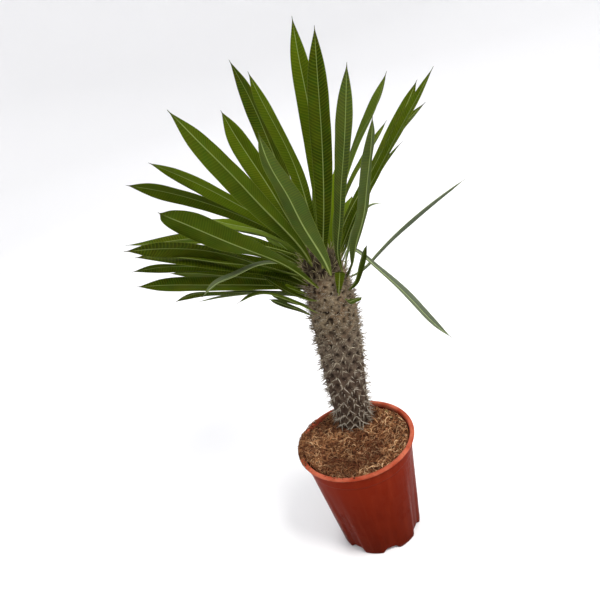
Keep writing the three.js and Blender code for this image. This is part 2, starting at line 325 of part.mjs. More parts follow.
// Blade section at each station of a leaf, used by the leaves and to keep spines off them.
const bladeOf = ([name, width, cut, mid, faces]) => {
  const curve = new THREE.CatmullRomCurve3(mid.map(V));
  const share = [0, 0.26, 0.65, 1];
  const face = (u) => {
    let i = 1;
    while (i < 3 && u > share[i]) i++;
    const t = (u - share[i - 1]) / (share[i] - share[i - 1]);
    return V(faces[i - 1]).lerp(V(faces[i]), Math.min(Math.max(t, 0), 1)).normalize();
  };
  const length = curve.getLength();
  const stations = cut
    ? [0, 0.12, 0.4, 0.7, 1]
    : length < 100
      ? [0, 0.12, 0.3, 0.5, 0.7, 0.88]
      : [0, 0.05, 0.14, 0.26, 0.4, 0.54, 0.67, 0.79, 0.89, 0.96];
  return stations.map((u) => {
    const p = curve.getPointAt(u);
    const t = curve.getTangentAt(u);
    const n = face(u);
    n.addScaledVector(t, -n.dot(t)).normalize();
    const w = new THREE.Vector3().crossVectors(t, n);
    const half = (cut ? lerpTable(CUT_BLADE, 1 - u) : lerpTable(BLADE, 1 - u)) * (width / 2);
    const fold = rad(12) * Math.min(1, 0.25 + u * 4);
    const keel = 0.5 + 0.7 * (1 - u) ** 1.5;
    return { u, p, t, n, w, half, fold, keel, tip: curve.getPointAt(1), name };
  });
};
const blades = LEAVES.map(bladeOf);
const nearLeaf = (q, reach) => {
  for (const b of blades)
    for (const s of b) {
      if (s.u > 0.45) break;
      for (const k of [-1, -0.5, 0, 0.5, 1]) {
        const e = s.p
          .clone()
          .addScaledVector(s.w, k * s.half * Math.cos(s.fold))
          .addScaledVector(s.n, Math.abs(k) * s.half * Math.sin(s.fold));
        if (e.distanceTo(q) < reach) return true;
      }
    }
  return false;
};
{
  const N = cushions.length;
  const feet = LEAVES.map((l) => V(l[3][0]));
  const points = [];
  const tris = [];
  const put = (v) => points.push(v.toArray()) - 1;
  // every cushion: a bare point, or a small four-sided foot that a spine stands on
  const nodes = cushions.map(([a, z], i) => {
    const { p, n } = onStem(a, z);
    const node = { p, n, i };
    if (i < 21 || i >= N - 21 || z < SOIL.top + 5) return node;
    if (feet.some((f) => f.distanceTo(p) < 3.2)) return node;
    const lean = z > 400 ? 0.35 : -0.28;
    const dir = n.clone().add(new THREE.Vector3(0, 0, lean)).normalize();
    const tip = p.clone().addScaledVector(dir, TRUNK.spine);
    if (tip.z < POT.height + 5 && Math.hypot(tip.x, tip.y) > 75) return node;
    if (z > 330 && [0.15, 0.4, 0.7, 1].some((f) => nearLeaf(p.clone().lerp(tip, f), 4.6))) return node;
    node.tip = tip;
    return node;
  });
  for (const node of nodes) {
    node.at = node.tip ? null : put(node.p);
    node.toward = {};
  }
  // the point where a net line leaves a cushion
  const leave = (node, k) => {
    if (!node.tip) return node.at;
    if (!(k in node.toward)) {
      const d = nodes[k].p.clone().sub(node.p);
      const r = TRUNK.spineR * 1.3;
      node.toward[k] = put(node.p.clone().addScaledVector(d, r / d.length()));
    }
    return node.toward[k];
  };
  // a net of cells, each with a cushion at its four corners and a hollow in the middle
  for (let i = 0; i + 21 < N; i++) {
    const corner = [i, i + 8, i + 21, i + 13];
    const c = corner.reduce((sum, k) => sum.add(nodes[k].p), new THREE.Vector3()).multiplyScalar(0.25);
    const ax = stemAxis(c.z);
    const inward = new THREE.Vector3(ax[0] - c.x, ax[1] - c.y, 0).normalize();
    c.addScaledVector(inward, TRUNK.pit * Math.min(1, stemR(c.z) / 26) * (c.z > 430 ? 0.5 : 1));
    const m = put(c);
    const rim = [];
    corner.forEach((k, q) => {
      const before = leave(nodes[k], corner[(q + 3) % 4]);
      const after = leave(nodes[k], corner[(q + 1) % 4]);
      rim.push(before);
      if (after !== before) rim.push(after);
    });
    rim.forEach((a, q) => tris.push([a, rim[(q + 1) % rim.length], m]));
  }
  for (const node of nodes)
    if (node.tip) {
      const t = put(node.tip);
      const ring = [node.i - 8, node.i - 13, node.i + 8, node.i + 13].map((k) => leave(node, k));
      ring.forEach((a, q) => tris.push([a, ring[(q + 1) % 4], t]));
    }
  // the two ends: the open edge of the net runs through 21 cushions in steps of +8 or -13
  const loop = [0];
  for (let k = 8; k !== 0; k = k + 8 <= 20 ? k + 8 : k - 13) loop.push(k);
  const top = put(new THREE.Vector3(...stemAxis(TRUNK.apex)));
  const foot = put(new THREE.Vector3(...stemAxis(TRUNK.bottom)));
  for (let k = 0; k < 21; k++) {
    const [a, b] = [loop[k], loop[(k + 1) % 21]];
    tris.push([nodes[b].at, nodes[a].at, top]);
    tris.push([nodes[N - 21 + a].at, nodes[N - 21 + b].at, foot]);
  }
  let stem = solidOf(geometryOf(points, tris));
  if (stem.volume() < 0) stem = solidOf(geometryOf(points, tris.map(([a, b, c]) => [a, c, b])));
  add("trunk", geometryFrom(stem), material(0x6b6152, 0.85));
}

// ---------------------------------------------------------------- soil
{
  const g = SOIL.gap;
  const rings = [];
  for (const r of [...FLOOR_R].reverse()) rings.push(floorRing(r, POT.floor + 2 * g));
  rings.push(potRing(POT.floor + 0.6 + 2 * g, 57.6, 2.8, POT.channelRise, g));
  const wall = [...INSIDE].reverse().filter(([z]) => z < SOIL.top - 6);
  wall.forEach(([z, r, f]) => rings.push(potRing(z, r, f, 0, g)));
  // the crumbly top: soft heaps, and a dish round the stem
  const middle = stemAxis(SOIL.top);
  const heap = (x, y) => {
    const off = Math.max(0, Math.hypot(x - middle[0], y - middle[1]) - stemR(SOIL.top));
    const bank = Math.min(1, Math.max(0, (0.7 * y - 0.71 * x) / 76 + 0.3));
    return (
      SOIL.bank * bank * bank * (3 - 2 * bank) +
      0.7 * Math.sin(x / 17 + 1.3) * Math.cos(y / 21 - 0.6) +
      0.4 * Math.sin((x - y) / 11) -
      SOIL.dish * Math.exp(-((off / 17) ** 2))
    );
  };
  const topRing = (r) =>
    Array.from({ length: POT.around }, (_, j) => {
      const a = rad(POT.firstChannelDeg + (360 * j) / POT.around);
      const [x, y] = [r * Math.cos(a), r * Math.sin(a)];
      return [x, y, SOIL.top + heap(x, y)];
    });
  for (const r of [76.5, 64, 50, 36, 18]) rings.push(topRing(r));
  let soil = solidOf(skin(rings, [0, 0, POT.floor + 2 * g], [0, 0, SOIL.top + heap(0, 0)], true));
  // the socket that the buried neck fills
  const socket = [];
  for (const z of [TRUNK.bottom - 1, 131, 141, 151, 161, 175]) {
    const c = stemAxis(z);
    const r = (stemR(z) + SOIL.trunkGap) / Math.cos(Math.PI / 24);
    socket.push(
      Array.from({ length: 24 }, (_, j) => [c[0] + r * Math.cos((j * Math.PI) / 12), c[1] + r * Math.sin((j * Math.PI) / 12), z]),
    );
  }
  const c0 = stemAxis(TRUNK.bottom - 1);
  soil = soil.subtract(solidOf(skin(socket, [c0[0], c0[1], c0[2]], [stemAxis(175)[0], stemAxis(175)[1], 175])));
  add("soil", geometryFrom(soil), material(0x5a4130, 0.98));
}

// ---------------------------------------------------------------- leaves
// Each blade is a shallow V: thin margins, a channel along the upper face and a keel under the midrib.
const GREENS = [0x4f6422, 0x586d26, 0x465a1e, 0x61762c];
blades.forEach((stations, i) => {
  const [name, , cut] = LEAVES[i];
  const points = [];
  const t = [];
  for (const s of stations) {
    const lift = s.half * Math.sin(s.fold);
    const out = s.half * Math.cos(s.fold);
    points.push(s.p.clone().addScaledVector(s.w, -out).addScaledVector(s.n, lift).toArray());
    points.push(s.p.clone().addScaledVector(s.n, 0.3).toArray());
    points.push(s.p.clone().addScaledVector(s.w, out).addScaledVector(s.n, lift).toArray());
    points.push(s.p.clone().addScaledVector(s.n, -s.keel).toArray());
  }
  for (let k = 0; k + 1 < stations.length; k++)
    for (let j = 0; j < 4; j++) {
      const [a, b] = [4 * k + j, 4 * k + ((j + 1) % 4)];
      // both faces are split along the same diagonals, from the midrib out to the next margin
      if (j % 2) t.push([a, b, a + 4], [b, b + 4, a + 4]);
      else t.push([a, b, b + 4], [a, b + 4, a + 4]);
    }
  t.push([0, 3, 1], [1, 3, 2]);
  const e = 4 * (stations.length - 1);
  if (cut) t.push([e, e + 1, e + 3], [e + 1, e + 2, e + 3]);
  else {
    const tip = points.push(stations[0].tip.toArray()) - 1;
    for (let j = 0; j < 4; j++) t.push([e + j, e + ((j + 1) % 4), tip]);
  }
  let g = geometryOf(points, t);
  const s = solidOf(g);
  if (s.volume() < 0) g = geometryOf(points, t.map(([a, b, c]) => [a, c, b]));
  add(name, g, material(GREENS[i % GREENS.length], 0.5));
});

export default plant;
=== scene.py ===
# Madagascar palm in a nursery pot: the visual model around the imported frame.
import math
import bpy
import bmesh
import numpy as np
from mathutils import Matrix, Vector


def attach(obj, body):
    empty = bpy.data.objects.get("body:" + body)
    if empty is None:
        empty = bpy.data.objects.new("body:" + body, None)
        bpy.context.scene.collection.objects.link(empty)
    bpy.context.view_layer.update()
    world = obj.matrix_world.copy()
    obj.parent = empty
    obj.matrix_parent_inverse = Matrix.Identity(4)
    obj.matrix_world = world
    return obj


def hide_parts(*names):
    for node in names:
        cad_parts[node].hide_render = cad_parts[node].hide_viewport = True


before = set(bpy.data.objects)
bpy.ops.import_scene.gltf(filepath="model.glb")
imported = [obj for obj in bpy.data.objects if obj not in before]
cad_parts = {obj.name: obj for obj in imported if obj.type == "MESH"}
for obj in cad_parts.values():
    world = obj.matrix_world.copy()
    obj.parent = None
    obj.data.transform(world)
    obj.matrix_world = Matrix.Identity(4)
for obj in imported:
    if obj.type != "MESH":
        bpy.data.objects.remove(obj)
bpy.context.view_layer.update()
rng = np.random.default_rng(20)
MM = 0.001
scene = bpy.context.scene


# ------------------------------------------------------------------ mesh helpers
def make_mesh(name, verts_mm, faces, smooth=True, sharp_deg=None, attrs=None, mats=(), mat_index=None):
    """A mesh object at the origin; verts in mm, faces an (n, 3) or (n, 4) array or a list of such arrays."""
    me = bpy.data.meshes.new(name)
    v = np.asarray(verts_mm, np.float64) * MM
    groups = faces if isinstance(faces, list) else [faces]
    groups = [np.asarray(f, np.int32) for f in groups if len(f)]
    nloops = sum(f.size for f in groups)
    npoly = sum(len(f) for f in groups)
    me.vertices.add(len(v))
    me.vertices.foreach_set("co", v.astype(np.float32).ravel())
    me.loops.add(nloops)
    me.loops.foreach_set("vertex_index", np.concatenate([f.ravel() for f in groups]))
    me.polygons.add(npoly)
    starts, at = [], 0
    for f in groups:
        starts.append(at + np.arange(len(f)) * f.shape[1])
        at += f.size
    me.polygons.foreach_set("loop_start", np.concatenate(starts).astype(np.int32))
    me.update(calc_edges=True)
    me.validate()
    if smooth:
        me.polygons.foreach_set("use_smooth", np.ones(len(me.polygons), bool))
    if sharp_deg:
        me.set_sharp_from_angle(angle=math.radians(sharp_deg))
    for k, a in (attrs or {}).items():
        a = np.asarray(a, np.float32)
        if a.ndim == 1:
            me.attributes.new(k, "FLOAT", "POINT").data.foreach_set("value", a)
        else:
            me.attributes.new(k, "FLOAT_VECTOR", "POINT").data.foreach_set("vector", a.ravel())
    for m in mats:
        me.materials.append(m)
    if mat_index is not None:
        me.polygons.foreach_set("material_index", np.asarray(mat_index, np.int32))
    o = bpy.data.objects.new(name, me)
    scene.collection.objects.link(o)
    return o


def grid_faces(rows, cols, closed=True, flip=False):
    """Quads of a rows x cols point grid, wrapped round the columns when closed."""
    i, j = np.meshgrid(np.arange(rows - 1), np.arange(cols if closed else cols - 1), indexing="ij")
    a = i * cols + j
    b = i * cols + (j + 1) % cols
    q = np.stack([a, b, b + cols, a + cols], -1).reshape(-1, 4)
    return q[:, ::-1] if flip else q


def unit(v):
    return v / np.maximum(np.linalg.norm(v, axis=-1, keepdims=True), 1e-12)


def spline(fr, pts, u):
    """Natural cubic spline through pts at fr: positions and first derivatives at u."""
    fr, pts, u = np.asarray(fr, float), np.asarray(pts, float), np.asarray(u, float)
    n = len(fr)
    h = np.diff(fr)
    A = np.zeros((n, n))
    B = np.zeros((n, pts.shape[1]))
    A[0, 0] = A[-1, -1] = 1
    for i in range(1, n - 1):
        A[i, i - 1], A[i, i], A[i, i + 1] = h[i - 1], 2 * (h[i - 1] + h[i]), h[i]
        B[i] = 6 * ((pts[i + 1] - pts[i]) / h[i] - (pts[i] - pts[i - 1]) / h[i - 1])
    M = np.linalg.solve(A, B)
    k = np.clip(np.searchsorted(fr, u, side="right") - 1, 0, n - 2)
    a, b, hk = (fr[k + 1] - u)[:, None], (u - fr[k])[:, None], h[k][:, None]
    p = (M[k] * a**3 + M[k + 1] * b**3) / (6 * hk) + (pts[k] / hk - M[k] * hk / 6) * a + (pts[k + 1] / hk - M[k + 1] * hk / 6) * b
    d = (-M[k] * a**2 + M[k + 1] * b**2) / (2 * hk) - (pts[k] / hk - M[k] * hk / 6) + (pts[k + 1] / hk - M[k + 1] * hk / 6)
    return p, d


def pchip(x, y, u):
    """Monotone cubic through (x, y)."""
    x, y, u = np.asarray(x, float), np.asarray(y, float), np.asarray(u, float)
    h, s = np.diff(x), np.diff(y) / np.diff(x)
    m = np.zeros(len(x))
    m[0], m[-1] = s[0], s[-1]
    for i in range(1, len(x) - 1):
        m[i] = 0 if s[i - 1] * s[i] <= 0 else 2 * s[i - 1] * s[i] / (s[i - 1] + s[i])
    k = np.clip(np.searchsorted(x, u, side="right") - 1, 0, len(x) - 2)
    t = (u - x[k]) / h[k]
    return (y[k] * (1 + 2 * t) * (1 - t) ** 2 + m[k] * h[k] * t * (1 - t) ** 2 + y[k + 1] * t**2 * (3 - 2 * t) + m[k + 1] * h[k] * t**2 * (t - 1))


def noise3(p, seed, octaves=3, scale=1.0):
    """Smooth seeded noise in about -1..1 at the points p (n, 3), from a hashed lattice."""
    out, amp, tot = 0, 1.0, 0.0
    for o in range(octaves):
        q = p / scale * 2**o + seed * 17.3 + o * 5.1
        i = np.floor(q).astype(np.int64)
        f = q - i
        f = f * f * (3 - 2 * f)
        v = 0
        for dx in (0, 1):
            for dy in (0, 1):
                for dz in (0, 1):
                    c = (i[:, 0] + dx) * 374761393 + (i[:, 1] + dy) * 668265263 + (i[:, 2] + dz) * 2147483647 + (seed + o) * 974711
                    c = (c ^ (c >> 13)) * 1274126177
                    c = ((c ^ (c >> 16)) & 0xFFFF) / 32767.5 - 1
                    w = (f[:, 0] if dx else 1 - f[:, 0]) * (f[:, 1] if dy else 1 - f[:, 1]) * (f[:, 2] if dz else 1 - f[:, 2])
                    v = v + c * w
        out = out + v * amp
        tot += amp
        amp *= 0.5
    return out / tot


def tubes(paths, radii, sides):
    """Closed tapering tubes through paths (n, k, 3) with radii (n, k); returns verts, faces and the share along each."""
    n, k, _ = paths.shape
    t = unit(np.gradient(paths, axis=1))
    ref = np.where(np.abs(t[..., 2:3]) < 0.9, np.array([0.0, 0, 1]), np.array([1.0, 0, 0]))
    a = unit(np.cross(t, ref))
    b = np.cross(t, a)
    g = np.arange(sides) * 2 * np.pi / sides
    ring = a[..., None, :] * np.cos(g)[:, None] + b[..., None, :] * np.sin(g)[:, None]
    v = paths[:, :, None, :] + ring * radii[:, :, None, None]
    verts = v.reshape(-1, 3)
    per = k * sides
    q = grid_faces(k, sides)
    quads = (q[None] + (np.arange(n) * per)[:, None, None]).reshape(-1, 4)
    ends = []
    base = np.arange(n) * per
    for j in range(1, sides - 1):
        ends.append(np.stack([base, base + j + 1, base + j], 1))
        e = base + (k - 1) * sides
        ends.append(np.stack([e, e + j, e + j + 1], 1))
    share = np.broadcast_to(np.linspace(0, 1, k)[None, :, None], (n, k, sides)).reshape(-1)
    return verts, [quads, np.concatenate(ends)], share


# ------------------------------------------------------------------ material helpers
class Nodes:
    def __init__(self, name):
        self.m = bpy.data.materials.new(name)
        self.m.use_nodes = True
        self.t = self.m.node_tree
        self.bsdf = self.t.nodes["Principled BSDF"]

    def new(self, kind, **kw):
        n = self.t.nodes.new(kind)
        for k, v in kw.items():
            setattr(n, k, v)
        return n

    def link(self, a, b):
        self.t.links.new(a, b)

    def put(self, socket, v):
        if hasattr(v, "is_output"):
            self.link(v, socket)
        else:
            socket.default_value = v

    def math(self, op, a, b=None, c=None, clamp=False):
        n = self.new("ShaderNodeMath", operation=op, use_clamp=clamp)
        self.put(n.inputs[0], a)
        if b is not None:
            self.put(n.inputs[1], b)
        if c is not None:
            self.put(n.inputs[2], c)
        return n.outputs[0]

    def mix(self, fac, a, b, blend="MIX"):
        n = self.new("ShaderNodeMix", data_type="RGBA", blend_type=blend)
        self.put(n.inputs[0], fac)
        self.put(n.inputs[6], a if hasattr(a, "is_output") else (*a, 1) if len(a) == 3 else a)
        self.put(n.inputs[7], b if hasattr(b, "is_output") else (*b, 1) if len(b) == 3 else b)
        return n.outputs[2]

    def ramp(self, fac, stops, mode="LINEAR"):
        n = self.new("ShaderNodeValToRGB")
        n.color_ramp.interpolation = mode
        el = n.color_ramp.elements
        while len(el) < len(stops):
            el.new(0.5)
        for e, (p, c) in zip(el, stops):
            e.position = p
            e.color = (*c, 1) if len(c) == 3 else c
        self.put(n.inputs[0], fac)
        return n.outputs[0]

    def attr(self, name):
        return self.new("ShaderNodeAttribute", attribute_name=name)

    def noise(self, vec, scale, detail=3, rough=0.55, dist=0.0):
        n = self.new("ShaderNodeTexNoise")
        n.inputs["Scale"].default_value = scale
        n.inputs["Detail"].default_value = detail
        n.inputs["Roughness"].default_value = rough
        n.inputs["Distortion"].default_value = dist
        self.put(n.inputs["Vector"], vec)
        return n.outputs[0]

    def range(self, v, a, b, c=0.0, d=1.0, smooth=False):
        n = self.new("ShaderNodeMapRange", interpolation_type="SMOOTHSTEP" if smooth else "LINEAR")
        for s, x in zip(n.inputs[:5], (v, a, b, c, d)):
            self.put(s, x)
        return n.outputs[0]

    def bump(self, height, strength, distance, normal=None):
        n = self.new("ShaderNodeBump")
        n.inputs["Strength"].default_value = strength
        n.inputs["Distance"].default_value = distance
        self.put(n.inputs["Height"], height)
        if normal is not None:
            self.put(n.inputs["Normal"], normal)
        return n.outputs[0]

    def obj(self, scale=None):
        c = self.new("ShaderNodeTexCoord").outputs["Object"]
        if scale is None:
            return c
        m = self.new("ShaderNodeMapping")
        m.inputs["Scale"].default_value = scale
        self.link(c, m.inputs["Vector"])
        return m.outputs[0]


def srgb(r, g, b):
    f = lambda x: x / 12.92 if x <= 0.04045 else ((x + 0.055) / 1.055) ** 2.4
    return (f(r / 255), f(g / 255), f(b / 255))


# ------------------------------------------------------------------ camera
Cy, Cz, YAW, PITCH, ROLL = 694.602, 726.450, -0.0231810, 0.4341977, -0.3065448
d = np.array([math.sin(YAW) * math.cos(PITCH), math.cos(YAW) * math.cos(PITCH), -math.sin(PITCH)])
r = unit(np.cross(d, [0, 0, 1.0]))
u = np.cross(r, d)
right = math.cos(ROLL) * r + math.sin(ROLL) * u
up = -math.sin(ROLL) * r + math.cos(ROLL) * u
cam = bpy.data.objects.new("camera", bpy.data.cameras.new("camera"))
scene.collection.objects.link(cam)
cam.data.sensor_width = 36
cam.data.lens = 36.0
cam.data.clip_start = 0.05
cam.data.clip_end = 60
cam.matrix_world = Matrix(((right[0], up[0], -d[0], 0), (right[1], up[1], -d[1], -Cy * MM), (right[2], up[2], -d[2], Cz * MM), (0, 0, 0, 1)))
scene.camera = cam

# ------------------------------------------------------------------ stem geometry, in mm
POT_CHANNEL0, LOBES = -86.0, 7
SOIL_TOP, SOIL_DISH = 164.2, 4.6
GOLDEN = 137.50776
STEM_R = np.array([
    [110, 14.5], [121, 17.5], [131, 20.3], [141, 22.7], [150, 24.3], [160, 25.07], [170, 25.69], [180, 26.27], [190, 26.84], [200, 27.4], [210, 27.97], [220, 28.55], [230, 29.1], [240, 29.59], [250, 30.04], [260, 30.45], [270, 30.83], [280, 31.18], [290, 31.56], [300, 31.87], [310, 32], [320, 32], [330, 32], [340, 32], [350, 31.92], [360, 31.74], [370, 31.5], [380, 31.2], [390, 30.77], [400, 30.15], [405, 29.69], [410, 29.14], [415, 28.5], [420, 27.71], [425, 26.71], [430, 25.5], [435, 23.91], [440, 21.89], [442, 21], [444, 20.05], [446, 19], [448, 17.83], [450, 16.5], [452, 14.96], [454, 13.14], [456, 11], [458, 8.52], [460, 5], [461.5, 0],
])
AREA = np.array([[110, 105], [150, 110], [175, 118], [190, 140], [205, 195], [225, 255], [262, 262], [290, 240], [315, 222], [340, 200], [365, 180], [400, 165], [440, 140], [461, 110]], float)


def stem_r(z):
    return np.interp(z, STEM_R[:, 0], STEM_R[:, 1])


def stem_axis(z):
    z = np.asarray(z, float)
    x = -2.0684e-6 * z**3 + 1.757506e-3 * z**2 - 0.39921739 * z + 34.695323
    y = 49 - 0.075 * (z - 160) - 0.22 * np.maximum(0, 152 - z)
    return np.stack([x, y, z], -1)


def stem_slope(z):
    return stem_r(np.minimum(z + 0.5, 461.4)) - stem_r(z - 0.5)


def node_step(z):
    s = stem_slope(z)
    return np.interp(z, AREA[:, 0], AREA[:, 1]) / (2 * np.pi * max(stem_r(z), 3) * math.sqrt(1 + min(s * s, 60)))


cushions = []
z, a = 276.1, -98.0
while True:
    z2 = z + node_step(z)
    a += GOLDEN
    z = z2
    if z > 460.2:
        break
    cushions.append((a, z))
cushions = cushions[::-1] + [(-98.0, 276.1)]
z, a = 276.1, -98.0
while True:
    z -= node_step(z)
    a -= GOLDEN
    if z < 131:
        break
    cushions.append((a, z))
NODE_A = np.radians([c[0] for c in cushions])
NODE_Z = np.array([c[1] for c in cushions])
NN = len(cushions)


def on_stem(ang, z):
    c = stem_axis(z)
    R = stem_r(z)
    s = stem_slope(z)
    n = unit(np.stack([np.cos(ang), np.sin(ang), -s], -1))
    p = c + np.stack([R * np.cos(ang), R * np.sin(ang), 0 * z], -1)
    return p, n


NODE_P, NODE_N = on_stem(NODE_A, NODE_Z)

# ------------------------------------------------------------------ leaves
BLADE = [(0, 0.0), (0.015, 0.07), (0.04, 0.22), (0.08, 0.46), (0.13, 0.70), (0.19, 0.87), (0.27, 0.97), (0.38, 1.0), (0.52, 0.89), (0.66, 0.73), (0.8, 0.53), (0.9, 0.35), (0.96, 0.21), (1.0, 0.11)]
BLUNT = [(0, 0.0), (0.008, 0.1), (0.03, 0.42), (0.06, 0.64), (0.1, 0.82), (0.16, 0.95), (0.25, 1.0), (0.4, 1.0), (0.56, 0.92), (0.7, 0.76), (0.82, 0.53), (0.91, 0.34), (0.965, 0.2), (1.0, 0.11)]
SHARES = [0, 0.10, 0.26, 0.45, 0.65, 0.84, 1.0]
